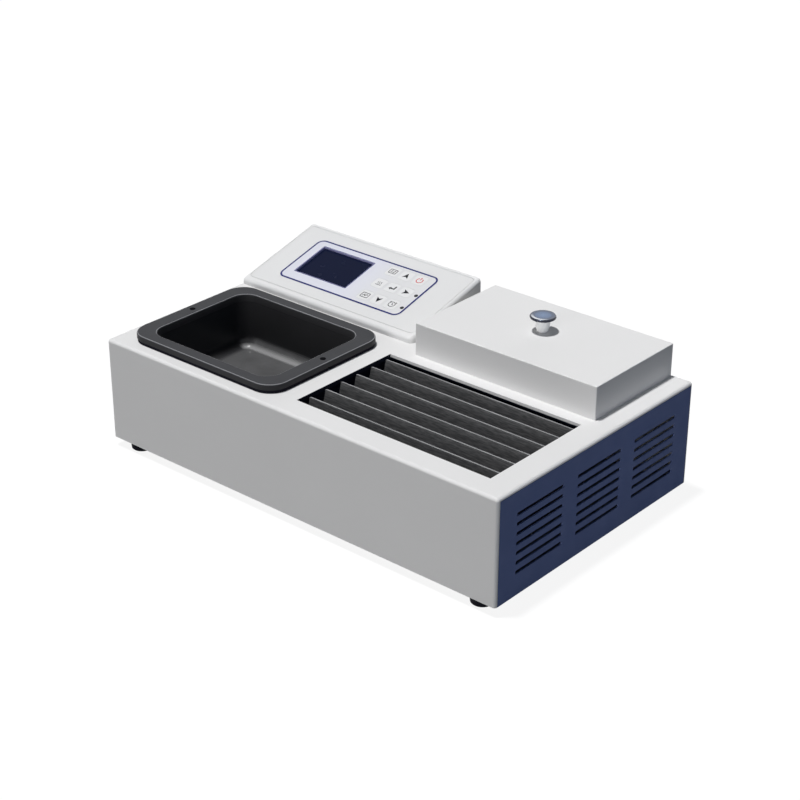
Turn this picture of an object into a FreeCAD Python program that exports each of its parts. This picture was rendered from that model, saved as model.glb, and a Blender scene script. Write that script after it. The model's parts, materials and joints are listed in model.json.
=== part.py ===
import FreeCAD, Part
import Sketcher
import math
import os
import re

# Tissue flotation bath with a slide drying well, a covered warming tray and a sloping keypad housing.
# Millimetres, +Z up. The origin is the middle of the outline, on the surface that the feet stand on.

SIZES = {
    # enclosure
    "body_length": 500.0,
    "body_width": 305.0,
    "body_height": 110.3,
    "foot_height": 10.0,
    "foot_diameter": 24.0,
    "foot_inset_x": 26.0,
    "foot_inset_y": 15.0,
    "sheet": 1.5,
    "bend_radius": 3.2,
    "seam_gap": 0.3,
    "return_flange": 14.0,
    "bezel_thickness": 3.0,
    "foot_chamfer": 1.0,
    "foot_recess": 4.5,
    "screw_hole": 3.4,
    "screw_shank": 3.0,
    "screw_head": 5.6,
    "screw_head_height": 2.0,
    "screw_bite": 2.5,
    # side louvres
    "slot_length": 69.0,
    "slot_height": 2.4,
    "slot_pitch": 9.9,
    "slot_rows": 7.0,
    "slot_group_pitch": 90.0,
    "slot_lowest": 23.6,
    # flotation pan
    "pan_left_margin": 17.6,
    "pan_front_margin": 12.5,
    "flange_length": 200.7,
    "flange_width": 163.0,
    "flange_rise": 9.4,
    "flange_round": 22.0,
    "rim_depth": 6.0,
    "pan_wall": 2.0,
    "land_ends": 17.8,
    "land_sides": 14.0,
    "bowl_depth": 58.0,
    "bowl_round": 17.0,
    "bowl_floor_round": 13.0,
    "bowl_taper": 3.0,
    "gasket_width": 5.0,
    "gasket_inset": 0.8,
    "gasket_notch": 4.0,
    "flange_edge_round": 1.6,
    "bowl_lip_round": 1.5,
    "pan_screw_inset": 8.8,
    "pan_spacer": 5.8,
    "drop_in_play": 3.0,
    "heater_thickness": 2.0,
    "bath_heater_length": 122.0,
    "bath_heater_width": 92.0,
    "felt_thickness": 8.0,
    "bracket_length": 132.0,
    "bracket_reach": 100.0,
    "bracket_width": 70.0,
    "sensor_disc": 12.0,
    "sensor_stem": 5.0,
    "sensor_length": 14.0,
    "sensor_play": 0.5,
    # slide drying well
    "well_right_margin": 28.5,
    "well_front_margin": 25.5,
    "well_length": 232.5,
    "well_width": 135.0,
    "well_rim": 5.0,
    "well_depth": 73.0,
    "well_wall": 1.2,
    "rack_plates": 6.0,
    "rack_pitch": 22.0,
    "rack_back_gap": 6.7,
    "rack_end_gap": 2.1,
    "rack_drop": 3.0,
    "plate_thickness": 2.6,
    "plate_slope": 0.268,
    "plate_seat": 10.0,
    "plate_corner": 4.0,
    "comb_height": 18.0,
    "comb_thickness": 3.0,
    "comb_inset": 24.0,
    "slip_fit": 0.3,
    "well_flange": 8.0,
    "vent_length": 60.0,
    "vent_width": 5.0,
    "vent_pitch": 12.0,
    "vent_rows": 7.0,
    "duct_length": 180.0,
    "duct_width": 100.0,
    "duct_flange": 10.0,
    "fan_size": 80.0,
    "fan_depth": 15.0,
    "fan_rim": 2.0,
    "fan_spoke": 5.0,
    "fan_floor": 2.0,
    "stator_diameter": 26.0,
    "stator_height": 11.0,
    "hub_diameter": 34.0,
    "hub_wall": 1.5,
    "fan_blades": 7.0,
    "blade_chord": 16.0,
    "blade_thickness": 1.6,
    "blade_gap": 0.8,
    "shaft_diameter": 3.0,
    "shaft_play": 0.06,
    "rod_diameter": 6.5,
    "rod_spread": 30.0,
    "rod_height": 25.0,
    "rod_end_gap": 6.0,
    "clip_inset": 22.0,
    # warming tray and lid
    "lid_right_margin": 23.5,
    "lid_back_margin": 3.0,
    "lid_length": 217.5,
    "lid_width": 126.8,
    "lid_height": 34.6,
    "lid_wall": 1.5,
    "lid_edge_round": 0.8,
    "tray_inset": 4.0,
    "tray_land": 9.0,
    "tray_depth": 20.0,
    "tray_wall": 1.2,
    "tray_round": 8.0,
    "tray_heater_margin": 16.0,
    "knob_head": 26.4,
    "knob_height": 17.2,
    "knob_stem": 14.4,
    "knob_base": 9.6,
    "knob_edge": 2.8,
    "knob_flare": 1.0,
    "knob_shift_x": -3.0,
    "knob_shift_y": 3.0,
    "knob_round": 1.2,
    # control housing
    "housing_left_margin": 0.7,
    "housing_length": 239.3,
    "housing_front": 190.8,
    "housing_back_margin": 2.2,
    "housing_wall": 2.5,
    "housing_roof": 3.5,
    "housing_nose": 4.2,
    "housing_round": 5.0,
    "housing_back_round": 1.2,
    "boss_inset": 5.5,
    "boss_diameter": 7.0,
    "boss_height": 4.5,
    "face_start": 198.0,
    "face_rise": 8.1,
    "face_slope": 0.2715,
    "face_edge": 4.4,
    "face_round": 5.0,
    "face_ledge": 4.0,
    "face_thickness": 2.0,
    "film_thickness": 0.3,
    "cable_slot_length": 60.0,
    "cable_slot_width": 20.0,
    "keypad_left": 32.8,
    "keypad_right": 37.7,
    "keypad_start": 15.1,
    "keypad_depth": 72.8,
    "keypad_round": 8.0,
    "screen_left": 12.9,
    "screen_length": 72.3,
    "screen_start": 14.2,
    "screen_depth": 49.2,
    "lens_margin": 3.0,
    "lens_thickness": 1.0,
    "module_margin": 5.0,
    "module_depth": 6.0,
    "board_thickness": 1.6,
    "board_edge": 14.0,
    "board_right": 12.0,
    "board_start": 4.0,
    "post_inset": 4.0,
    "post_diameter": 5.0,
    "tact_size": 6.0,
    "tact_body": 3.5,
    "tact_height": 4.7,
    "tact_button": 3.2,
    "tact_gap": 0.1,
    "key_cap": 1.7,
    "key_stem": 5.0,
    "key_size": 15.0,
    "key_gap": 0.15,
    "key_round": 3.0,
    "key_travel": 0.4,
    "key_pitch_x": 18.3,
    "key_pitch_y": 23.2,
    "key_first_x": 113.6,
    "key_first_y": 14.2,
    "lamp_x": 164.0,
    "lamp_diameter": 3.4,
    "lamp_play": 0.1,
    # rear fittings
    "inlet_centre_x": -185.0,
    "inlet_centre_height": 50.0,
    "inlet_length": 50.0,
    "inlet_height": 34.0,
    "inlet_body": 28.0,
    "inlet_lip": 1.5,
    "inlet_depth": 25.0,
    "inlet_web": 2.5,
    "inlet_screw_offset": 19.5,
    "fitting_round": 2.5,
    "socket_length": 24.4,
    "socket_height": 16.6,
    "socket_depth": 17.0,
    "drawer_length": 22.0,
    "drawer_height": 6.4,
    "drawer_depth": 20.0,
    "drawer_play": 0.2,
    "drawer_wall": 0.8,
    "fuse_diameter": 5.0,
    "blade_width": 2.0,
    "blade_height": 4.0,
    "blade_length": 14.0,
    "blade_spread": 7.0,
    "blade_offset": 2.0,
    "switch_centre_x": -130.0,
    "switch_length": 24.0,
    "switch_height": 31.0,
    "switch_lip": 2.0,
    "switch_depth": 18.0,
    "rocker_length": 14.0,
    "rocker_height": 20.0,
    "rocker_play": 0.8,
    "rocker_setback": 7.0,
    "rocker_face": 5.4,
    "rocker_dip": 1.2,
    "rocker_tilt": 8.0,
    "rocker_well": 12.0,
    "pin_diameter": 3.0,
    "pin_length": 1.6,
    "pin_play": 0.06,
    "power_left": 35.0,
    "power_length": 150.0,
    "power_front": 189.0,
    "power_width": 88.0,
    "power_standoff": 8.0,
    "power_post_inset": 5.0,
    "post_peg": 2.8,
}

# Places on the body that several pieces share, written with the sizes' names.
LEFT = "(-body_length/2)"
RIGHT = "(body_length/2)"
FRONT = "(-(body_width + bezel_thickness)/2)"
BACK = "((body_width - bezel_thickness)/2)"
MIDDLE = "(-bezel_thickness/2)"
BOTTOM = "foot_height"
DECK = "(foot_height + body_height)"
PLATE_TOP = "(foot_height + sheet)"
UNDER_DECK = "(foot_height + body_height - sheet)"

PAN_LEFT = f"({LEFT} + pan_left_margin)"
PAN_RIGHT = f"({PAN_LEFT} + flange_length)"
PAN_FRONT = f"({FRONT} + pan_front_margin)"
PAN_BACK = f"({PAN_FRONT} + flange_width)"
PAN_TOP = f"({DECK} + flange_rise)"
PAN_X = f"({PAN_LEFT} + flange_length/2)"
PAN_Y = f"({PAN_FRONT} + flange_width/2)"
BOWL_UNDER = f"({PAN_TOP} - bowl_depth - pan_wall)"

WELL_RIGHT = f"({RIGHT} - well_right_margin)"
WELL_LEFT = f"({WELL_RIGHT} - well_length)"
WELL_FRONT = f"({FRONT} + well_front_margin)"
WELL_BACK = f"({WELL_FRONT} + well_width)"
WELL_X = f"({WELL_LEFT} + well_length/2)"
WELL_Y = f"({WELL_FRONT} + well_width/2)"
WELL_FLOOR = f"({DECK} - well_depth)"
LINER = "(sheet + slip_fit)"
WELL_UNDER = f"({WELL_FLOOR} - well_wall)"
RACK_TOP = f"({DECK} - rack_drop)"
RACK_BACK = f"({WELL_BACK} - rack_back_gap)"
PLATE_FOOT = f"({WELL_FLOOR} + plate_seat)"
PLATE_SLANT = "sqrt(1 + plate_slope*plate_slope)"
PLATE_HEIGHT = f"(({RACK_TOP} - {PLATE_FOOT})*{PLATE_SLANT})"

LID_RIGHT = f"({RIGHT} - lid_right_margin)"
LID_LEFT = f"({LID_RIGHT} - lid_length)"
LID_BACK = f"({BACK} - lid_back_margin)"
LID_FRONT = f"({LID_BACK} - lid_width)"
LID_X = f"({LID_LEFT} + lid_length/2)"
LID_Y = f"({LID_FRONT} + lid_width/2)"
LID_TOP = f"({DECK} + lid_height)"
KNOB_X = f"({LID_X} + knob_shift_x)"
KNOB_Y = f"({LID_Y} + knob_shift_y)"
TRAY_LEFT = f"({LID_LEFT} + tray_inset)"
TRAY_RIGHT = f"({LID_RIGHT} - tray_inset)"
TRAY_FRONT = f"({LID_FRONT} + tray_inset)"
TRAY_BACK = f"({LID_BACK} - tray_inset)"
TRAY_TOP = f"({DECK} + tray_wall)"
TRAY_UNDER = f"({TRAY_TOP} - tray_depth - tray_wall)"

HOUSING_LEFT = f"({LEFT} + housing_left_margin)"
HOUSING_RIGHT = f"({HOUSING_LEFT} + housing_length)"
HOUSING_FRONT = f"({FRONT} + housing_front)"
HOUSING_BACK = f"({BACK} - housing_back_margin)"
FACE_Y = f"({FRONT} + face_start)"
FACE_Z = f"({DECK} + face_rise)"
SLANT = "sqrt(1 + face_slope*face_slope)"
FACE_LEFT = f"({HOUSING_LEFT} + face_edge)"
FACE_RIGHT = f"({HOUSING_RIGHT} - face_edge)"
FACE_LENGTH = f"(({HOUSING_BACK} - {FACE_Y} - face_edge)*{SLANT})"
KEYPAD_LEFT = f"({LEFT} + housing_left_margin + keypad_left)"
KEYPAD_RIGHT = f"({HOUSING_RIGHT} - keypad_right)"
SCREEN_LEFT = f"({KEYPAD_LEFT} + screen_left)"
SCREEN_START = "(keypad_start + screen_start)"
BOARD_TOP = "(-(face_thickness + lens_thickness + module_depth))"
BOARD_LEFT = f"({SCREEN_LEFT} - board_edge)"
BOARD_RIGHT = f"({KEYPAD_LEFT} + lamp_x + board_right)"
BOARD_START = "(keypad_start + board_start)"
BOARD_END = "(keypad_start + keypad_depth - board_start)"

INLET_Z = "(foot_height + inlet_centre_height)"
BEZEL = f"({BACK} + bezel_thickness)"
INLET_HALF = "(inlet_height/2 - inlet_lip)"
SOCKET_Z = f"({INLET_Z} - {INLET_HALF} + inlet_web + socket_height/2)"
DRAWER_Z = f"({INLET_Z} + {INLET_HALF} - inlet_web - drawer_height/2)"

doc = FreeCAD.newDocument("flotation_bath")
sheet = doc.addObject("Spreadsheet::Sheet", "Sizes")
for row, (alias, value) in enumerate(SIZES.items(), start=1):
    sheet.set(f"A{row}", alias)
    sheet.set(f"B{row}", str(value))
    sheet.setAlias(f"B{row}", alias)
doc.recompute()

WORD = re.compile(r"[a-z]+(?:_[a-z]+)*")
PARTS = []


def bound(text):
    """The text as an expression on the cells of the sheet."""
    return WORD.sub(lambda word: "Sizes." + word.group() if word.group() in SIZES else word.group(), text)


def number(text):
    """The value of the same text, read from the sheet."""
    filled = WORD.sub(lambda word: repr(float(sheet.get(word.group()))) if word.group() in SIZES
                      else word.group(), text)
    return FreeCAD.Units.Quantity(filled).Value


def bind(thing, **properties):
    for name, text in properties.items():
        thing.setExpression(name, bound(text))


def keep(thing, name):
    thing.Label = name
    PARTS.append(thing)
    return thing


# Sketches and PartDesign features


def new_body(name):
    return keep(doc.addObject("PartDesign::Body", name), name)


def origin_item(body, role):
    return [item for item in body.Origin.OriginFeatures if item.Role == role][0]


def new_sketch(body, name, role, lift="0", slope=None, lift_y=None):
    """A sketch on an origin plane of the body, moved along its normal. With slope it leans about X."""
    sketch = body.newObject("Sketcher::SketchObject", name)
    sketch.AttachmentSupport = [(origin_item(body, role), "")]
    sketch.MapMode = "FlatFace"
    if slope:
        sketch.AttachmentOffset = FreeCAD.Placement(
            FreeCAD.Vector(), FreeCAD.Rotation(FreeCAD.Vector(1, 0, 0), 1))
        sketch.setExpression(".AttachmentOffset.Rotation.Angle", bound(f"atan({slope})"))
        sketch.setExpression(".AttachmentOffset.Base.y", bound(lift_y))
    sketch.setExpression(".AttachmentOffset.Base.z", bound(lift))
    return sketch


def rear_sketch(body, name, y):
    """A sketch that stands across the object: x runs along X and y along Z, and it faces the front."""
    return new_sketch(body, name, "XZ_Plane", f"-({y})")


def pin(sketch, element, point, x, y):
    for kind, text in (("DistanceX", x), ("DistanceY", y)):
        index = sketch.addConstraint(
            Sketcher.Constraint(kind, -1, 1, element, point, number(text)))
        sketch.setExpression(f"Constraints[{index}]", bound(text))


def limit_radius(sketch, element, radius):
    index = sketch.addConstraint(Sketcher.Constraint("Radius", element, number(radius)))
    sketch.setExpression(f"Constraints[{index}]", bound(radius))


def polygon(sketch, points):
    first = sketch.GeometryCount
    count = len(points)
    places = [FreeCAD.Vector(number(x), number(y), 0) for x, y in points]
    for k in range(count):
        sketch.addGeometry(Part.LineSegment(places[k], places[(k + 1) % count]))
    for k in range(count):
        sketch.addConstraint(
            Sketcher.Constraint("Coincident", first + k, 2, first + (k + 1) % count, 1))
    for k, (x, y) in enumerate(points):
        pin(sketch, first + k, 1, x, y)


def belt(sketch, centres, radius):
    """Equal arcs round the centres, taken anticlockwise, joined by straight tangents."""
    size = number(radius)
    places = [FreeCAD.Vector(number(x), number(y), 0) for x, y in centres]
    count = len(places)
    first = sketch.GeometryCount
    for k, here in enumerate(places):
        arriving = here - places[k - 1]
        leaving = places[(k + 1) % count] - here
        start = math.atan2(arriving.y, arriving.x) - math.pi/2
        end = math.atan2(leaving.y, leaving.x) - math.pi/2
        outward = FreeCAD.Vector(math.cos(end), math.sin(end), 0)*size
        circle_here = Part.Circle(here, FreeCAD.Vector(0, 0, 1), size)
        sketch.addGeometry(Part.ArcOfCircle(circle_here, start, end))
        sketch.addGeometry(Part.LineSegment(here + outward, here + leaving + outward))
    for k in range(2*count):
        sketch.addConstraint(
            Sketcher.Constraint("Tangent", first + k, 2, first + (k + 1) % (2*count), 1))
    for k, (x, y) in enumerate(centres):
        pin(sketch, first + 2*k, 3, x, y)
        limit_radius(sketch, first + 2*k, radius)


def corners(x_low, x_high, y_low, y_high):
    return [(x_low, y_low), (x_high, y_low), (x_high, y_high), (x_low, y_high)]


def rectangle(sketch, x_low, x_high, y_low, y_high, radius=None):
    if radius is None:
        polygon(sketch, corners(x_low, x_high, y_low, y_high))
    else:
        belt(sketch, corners(f"{x_low} + {radius}", f"{x_high} - {radius}",
                             f"{y_low} + {radius}", f"{y_high} - {radius}"), radius)


def centred(sketch, x, y, length, width, radius=None):
    rectangle(sketch, f"{x} - ({length})/2", f"{x} + ({length})/2",
              f"{y} - ({width})/2", f"{y} + ({width})/2", radius)


def slot(sketch, x_low, x_high, y, width):
    """A slot with round ends between two ends."""
    belt(sketch, [(f"{x_low} + {width}/2", y), (f"{x_high} - {width}/2", y)], f"{width}/2")


def circle(sketch, x, y, radius):
    centre = FreeCAD.Vector(number(x), number(y), 0)
    index = sketch.addGeometry(Part.Circle(centre, FreeCAD.Vector(0, 0, 1), number(radius)))
    pin(sketch, index, 3, x, y)
    limit_radius(sketch, index, radius)


def pad(body, sketch, name, length, down=False, taper=None):
    feature = body.newObject("PartDesign::Pad", name)
    feature.Profile = sketch
    feature.Reversed = down
    bind(feature, Length=length)
    if taper:
        bind(feature, TaperAngle=taper)
    body.Tip = feature
    return feature


def cut(body, sketch, name, length, forward=False, taper=None):
    """A pocket against the sketch's normal, or along it. It has to take material away."""
    doc.recompute()
    before = body.Shape.Volume
    feature = body.newObject("PartDesign::Pocket", name)
    feature.Profile = sketch
    feature.Reversed = forward
    bind(feature, Length=length)
    if taper:
        bind(feature, TaperAngle=taper)
    body.Tip = feature
    doc.recompute()
    if body.Shape.Volume > before - 1e-3:
        raise RuntimeError(f"{body.Name}.{name} cuts nothing")
    return feature


def row_of(body, feature, name, axis, length, count, backward=False):
    """A row of a feature along an axis of its own sketch, over a length from first to last."""
    pattern = body.newObject("PartDesign::LinearPattern", name)
    pattern.Originals = [feature]
    pattern.Direction = (feature.Profile[0], [axis])
    pattern.Reversed = backward
    bind(pattern, Length=length, Occurrences=count)
    body.Tip = pattern
    return pattern


def round_off(body, name, radius, choose):
    """A fillet on the edges that choose picks by their bounding boxes."""
    doc.recompute()
    base = body.Tip
    picked = [f"Edge{index}" for index, edge in enumerate(base.Shape.Edges, start=1)
              if choose(edge.BoundBox)]
    if not picked:
        raise RuntimeError(f"{body.Name}.{name} finds no edge")
    feature = body.newObject("PartDesign::Fillet", name)
    feature.Base = (base, picked)
    bind(feature, Radius=radius)
    body.Tip = feature
    return feature


def near(value, text, slack=0.01):
    return abs(value - number(text)) < slack


def flat_at(z):
    return lambda box: near(box.ZMin, z) and near(box.ZMax, z)


def rising_from(z):
    return lambda box: near(box.ZMin, z) and box.ZLength > 1


def upright(box):
    return box.ZLength > 1e-3 and box.XLength < 1e-6 and box.YLength < 1e-6


def block(body, name, x_low, x_high, y_low, y_high, z_low, height, radius=None):
    sketch = new_sketch(body, name + "_outline", "XY_Plane", z_low)
    rectangle(sketch, x_low, x_high, y_low, y_high, radius)
    return pad(body, sketch, name, height)


def window(body, name, z_low, length, x_low, x_high, y_low, y_high, radius=None):
    sketch = new_sketch(body, name + "_outline", "XY_Plane", z_low)
    rectangle(sketch, x_low, x_high, y_low, y_high, radius)
    return cut(body, sketch, name, length, forward=True)


def post(body, name, z_low, height, places, diameter):
    sketch = new_sketch(body, name + "_outline", "XY_Plane", z_low)
    for x, y in places:
        circle(sketch, x, y, f"({diameter})/2")
    return pad(body, sketch, name, height)


def hole(body, name, z_low, length, places, diameter):
    """Round holes that start at z_low and go up."""
    sketch = new_sketch(body, name + "_outline", "XY_Plane", z_low)
    for x, y in places:
        circle(sketch, x, y, f"({diameter})/2")
    return cut(body, sketch, name, length, forward=True)


def turn(body, name, profile):
    """A solid of revolution about the body's own Z axis, from (radius, height) points."""
    sketch = new_sketch(body, name + "_profile", "XZ_Plane")
    polygon(sketch, profile)
    feature = body.newObject("PartDesign::Revolution", name)
    feature.Profile = sketch
    feature.ReferenceAxis = (sketch, ["V_Axis"])
    feature.Angle = 360
    body.Tip = feature
    return feature


def place(thing, x, y, z):
    for axis, text in (("x", x), ("y", y), ("z", z)):
        thing.setExpression(f"Placement.Base.{axis}", bound(text))


def lean(thing, angle, y, z, way=1):
    """Tilts a piece about a line along X. With way 1 its far side rises, with way -1 it falls."""
    thing.Placement = FreeCAD.Placement(FreeCAD.Vector(), FreeCAD.Rotation(FreeCAD.Vector(way, 0, 0), 1))
    place(thing, "0", y, z)
    thing.setExpression("Placement.Rotation.Angle", bound(angle))


def lay_on_face(thing):
    """Puts a piece that is drawn flat onto the sloping face of the housing."""
    lean(thing, "atan(face_slope)", FACE_Y, FACE_Z)


# Small repeated solids


def turned(points, spot, direction=(0, 0, 1)):
    """A turned solid at a spot, from (radius, height) numbers along a direction."""
    profile = [FreeCAD.Vector(radius, 0, height) for radius, height in points]
    face = Part.Face(Part.makePolygon(profile + profile[:1]))
    solid = face.revolve(FreeCAD.Vector(), FreeCAD.Vector(0, 0, 1), 360)
    solid.Placement = FreeCAD.Placement(
        FreeCAD.Vector(*spot), FreeCAD.Rotation(FreeCAD.Vector(0, 0, 1), FreeCAD.Vector(*direction)))
    return solid


def screw(spot, length, direction=(0, 0, 1)):
    """A pan-head screw seated at a spot, its shank pointing along a direction."""
    shank = number("screw_shank/2")
    head = number("screw_head/2")
    height = number("screw_head_height")
    recess = head/2
    return turned([(0, length), (shank, length), (shank, 0), (head, 0), (head, -height),
                   (recess, -height), (recess, -height/2), (0, -height/2)], spot, direction)


def sleeve(spot, height, outer, inner):
    return turned([(inner, 0), (outer, 0), (outer, height), (inner, height)], spot)


def spots(places, z):
    return [(number(x), number(y), number(z)) for x, y in places]


def group(name, solids):
    """Separate solids of one node, at their own places."""
    feature = doc.addObject("Part::Feature", name)
    feature.Shape = Part.makeCompound(solids)
    return keep(feature, name)


# Fastening places

FEET = corners(f"{LEFT} + foot_inset_x", f"{RIGHT} - foot_inset_x",
               f"{FRONT} + foot_inset_y", f"{BACK} - foot_inset_y")
RETURN_RIGHT = "(body_length/2 - foot_inset_x - foot_diameter/2)"
RETURN_LEFT = f"(-{RETURN_RIGHT})"
COVER_SCREWS = [(x, y) for x in ("-body_length/3", "0", "body_length/3")
                for y in (f"{FRONT} + return_flange*0.6", f"{BACK} - return_flange*0.6")]
PANEL_SCREWS = {wall: [(f"{wall} {inward} return_flange*0.6", f"{MIDDLE} + {side}*slot_group_pitch")
                       for side in (-1, 1)]
                for wall, inward in ((LEFT, "+"), (RIGHT, "-"))}
PAN_SCREWS = [(f"{PAN_LEFT} + pan_screw_inset", PAN_Y), (f"{PAN_RIGHT} - pan_screw_inset", PAN_Y)]
HOUSING_SCREWS = corners(f"{HOUSING_LEFT} + boss_inset", f"{HOUSING_RIGHT} - boss_inset",
                         f"{HOUSING_FRONT} + boss_inset", f"{HOUSING_BACK} - boss_inset")
BRACKET_SCREWS = [(f"{PAN_X} {side} (bracket_length + bracket_reach)/4", f"{PAN_Y} {edge} bracket_width/4")
                  for side in "-+" for edge in "-+"]
DUCT_SCREWS = corners(f"{WELL_X} - duct_length/2 - duct_flange/2", f"{WELL_X} + duct_length/2 + duct_flange/2",
                      f"{WELL_Y} - duct_width/4", f"{WELL_Y} + duct_width/4")
POWER_LEFT = f"({LEFT} + power_left)"
POWER_FRONT = f"({FRONT} + power_front)"
POWER_POSTS = corners(f"{POWER_LEFT} + power_post_inset", f"{POWER_LEFT} + power_length - power_post_inset",
                      f"{POWER_FRONT} + power_post_inset", f"{POWER_FRONT} + power_width - power_post_inset")
POWER_Z = f"({PLATE_TOP} + power_standoff)"
INLET_SCREWS = [(f"inlet_centre_x {side} inlet_screw_offset", INLET_Z) for side in "-+"]


# Enclosure


def top_cover():
    body = new_body("top_cover")
    block(body, "skin", LEFT, RIGHT, FRONT, BACK, BOTTOM, "body_height")
    round_off(body, "bends", "bend_radius", lambda box: upright(box) or flat_at(DECK)(box))
    window(body, "inside", BOTTOM, "body_height - sheet",
           f"{LEFT} + sheet", f"{RIGHT} - sheet", f"{FRONT} + sheet", f"{BACK} - sheet")
    inner = number(UNDER_DECK)
    round_off(body, "inner_bends", "bend_radius - sheet",
              lambda box: (upright(box) and box.ZMax < inner + 0.01
                           and abs(box.XMin) < number(f"{RIGHT} - sheet/2"))
              or flat_at(UNDER_DECK)(box))

    sides = new_sketch(body, "side_windows_outline", "YZ_Plane", LEFT)
    rectangle(sides, f"{FRONT} + bend_radius", f"{BACK} - bend_radius", BOTTOM, f"{DECK} - bend_radius")
    cut(body, sides, "side_windows", "body_length", forward=True)

    block(body, "front_return", RETURN_LEFT, RETURN_RIGHT, FRONT, f"{FRONT} + return_flange",
          PLATE_TOP, "sheet")
    block(body, "back_return", RETURN_LEFT, RETURN_RIGHT, f"{BACK} - return_flange", BACK,
          PLATE_TOP, "sheet")
    hole(body, "return_holes", PLATE_TOP, "sheet", COVER_SCREWS, "screw_hole")

    window(body, "pan_opening", UNDER_DECK, "sheet",
           f"{PAN_LEFT} + land_ends - pan_wall - drop_in_play",
           f"{PAN_RIGHT} - land_ends + pan_wall + drop_in_play",
           f"{PAN_FRONT} + land_sides - pan_wall - drop_in_play",
           f"{PAN_BACK} - land_sides + pan_wall + drop_in_play", "bowl_round")
    window(body, "tray_opening", UNDER_DECK, "sheet",
           f"{TRAY_LEFT} + tray_land - tray_wall - drop_in_play",
           f"{TRAY_RIGHT} - tray_land + tray_wall + drop_in_play",
           f"{TRAY_FRONT} + tray_land - tray_wall - drop_in_play",
           f"{TRAY_BACK} - tray_land + tray_wall + drop_in_play", "tray_round")
    block(body, "well_rim", f"{WELL_LEFT} - sheet", f"{WELL_RIGHT} + sheet",
          f"{WELL_FRONT} - sheet", f"{WELL_BACK} + sheet", f"{DECK} - well_rim", "well_rim - sheet")
    window(body, "slide_opening", f"{DECK} - well_rim", "well_rim",
           WELL_LEFT, WELL_RIGHT, WELL_FRONT, WELL_BACK)
    cable = new_sketch(body, "cable_slot_outline", "XY_Plane", UNDER_DECK)
    slot(cable, f"{PAN_X} - cable_slot_length/2", f"{PAN_X} + cable_slot_length/2",
         f"({HOUSING_FRONT} + {HOUSING_BACK})/2", "cable_slot_width")
    cut(body, cable, "cable_slot", "sheet", forward=True)
    hole(body, "deck_holes", UNDER_DECK, "sheet", PAN_SCREWS + HOUSING_SCREWS, "screw_hole")

    rear = rear_sketch(body, "rear_openings_outline", BACK)
    centred(rear, "inlet_centre_x", INLET_Z, "inlet_body + 2*slip_fit", f"2*{INLET_HALF} + 2*slip_fit")
    centred(rear, "switch_centre_x", INLET_Z, "switch_length - 2*switch_lip + 2*slip_fit",
            "switch_height - 2*switch_lip + 2*slip_fit")
    for x, z in INLET_SCREWS:
        circle(rear, x, z, "screw_hole/2")
    cut(body, rear, "rear_openings", "sheet", forward=True)


def base_plate():
    body = new_body("base_plate")
    block(body, "plate", f"{LEFT} + sheet + seam_gap", f"{RIGHT} - sheet - seam_gap",
          f"{FRONT} + sheet + seam_gap", f"{BACK} - sheet - seam_gap", BOTTOM, "sheet", "bend_radius")
    hole(body, "screw_holes", BOTTOM, "sheet",
         FEET + COVER_SCREWS + PANEL_SCREWS[LEFT] + PANEL_SCREWS[RIGHT] + BRACKET_SCREWS + DUCT_SCREWS,
         "screw_hole")
    hole(body, "post_holes", BOTTOM, "sheet", POWER_POSTS, "post_peg + 2*shaft_play")
    air = new_sketch(body, "intake_outline", "XY_Plane", BOTTOM)
    slot(air, f"{WELL_X} - vent_length/2", f"{WELL_X} + vent_length/2",
         f"{WELL_Y} - fan_size/2 + vent_pitch", "vent_width")
    first = cut(body, air, "intake", "sheet", forward=True)
    row_of(body, first, "intakes", "V_Axis", "fan_size - 2*vent_pitch", "vent_rows - 1")


def side_panel(name, wall, inward):
    """A punched panel: its face fills the window of the cover, with flanges turned in all round."""
    body = new_body(name)
    front = f"{FRONT} + bend_radius + seam_gap"
    back = f"{BACK} - bend_radius - seam_gap"
    top = f"({DECK} - bend_radius - seam_gap)"
    face = f"{wall} {inward} sheet"
    deep = f"{wall} {inward} return_flange"
    x_face = [wall, face] if inward == "+" else [face, wall]
    x_deep = [wall, deep] if inward == "+" else [deep, wall]
    x_inside = [face, deep] if inward == "+" else [deep, face]
    block(body, "face", *x_face, front, back, BOTTOM, f"{top} - {BOTTOM}")
    block(body, "flanges", *x_deep, front, back, PLATE_TOP, f"{top} - {PLATE_TOP}")
    window(body, "inside", f"{PLATE_TOP} + sheet", f"{top} - {PLATE_TOP} - 2*sheet",
           *x_inside, f"{front} + sheet", f"{back} - sheet")
    hole(body, "screw_holes", PLATE_TOP, "sheet", PANEL_SCREWS[wall], "screw_hole")
    slots = new_sketch(body, "slots_outline", "YZ_Plane", wall)
    for side in (-1, 0, 1):
        middle = f"{MIDDLE} + {side}*slot_group_pitch"
        slot(slots, f"{middle} - slot_length/2", f"{middle} + slot_length/2",
             f"{BOTTOM} + slot_lowest", "slot_height")
    first = cut(body, slots, "slots", "sheet", forward=inward == "+")
    row_of(body, first, "louvres", "V_Axis", "slot_pitch*(slot_rows - 1)", "slot_rows")


def feet():
    radius = number("foot_diameter/2")
    height = number("foot_height")
    chamfer = number("foot_chamfer")
    hole_radius = number("screw_hole/2")
    recess = number("screw_head/2 + foot_chamfer")
    depth = number("foot_recess")
    profile = [(recess, 0), (radius - 2*chamfer, 0), (radius - chamfer, chamfer), (radius, height),
               (hole_radius, height), (hole_radius, depth), (recess, depth)]
    group("feet", [turned(profile, spot) for spot in spots(FEET, "0")])
    length = number("foot_height - foot_recess + sheet + screw_bite")
    group("foot_screws", [screw(spot, length) for spot in spots(FEET, "foot_recess")])


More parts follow.
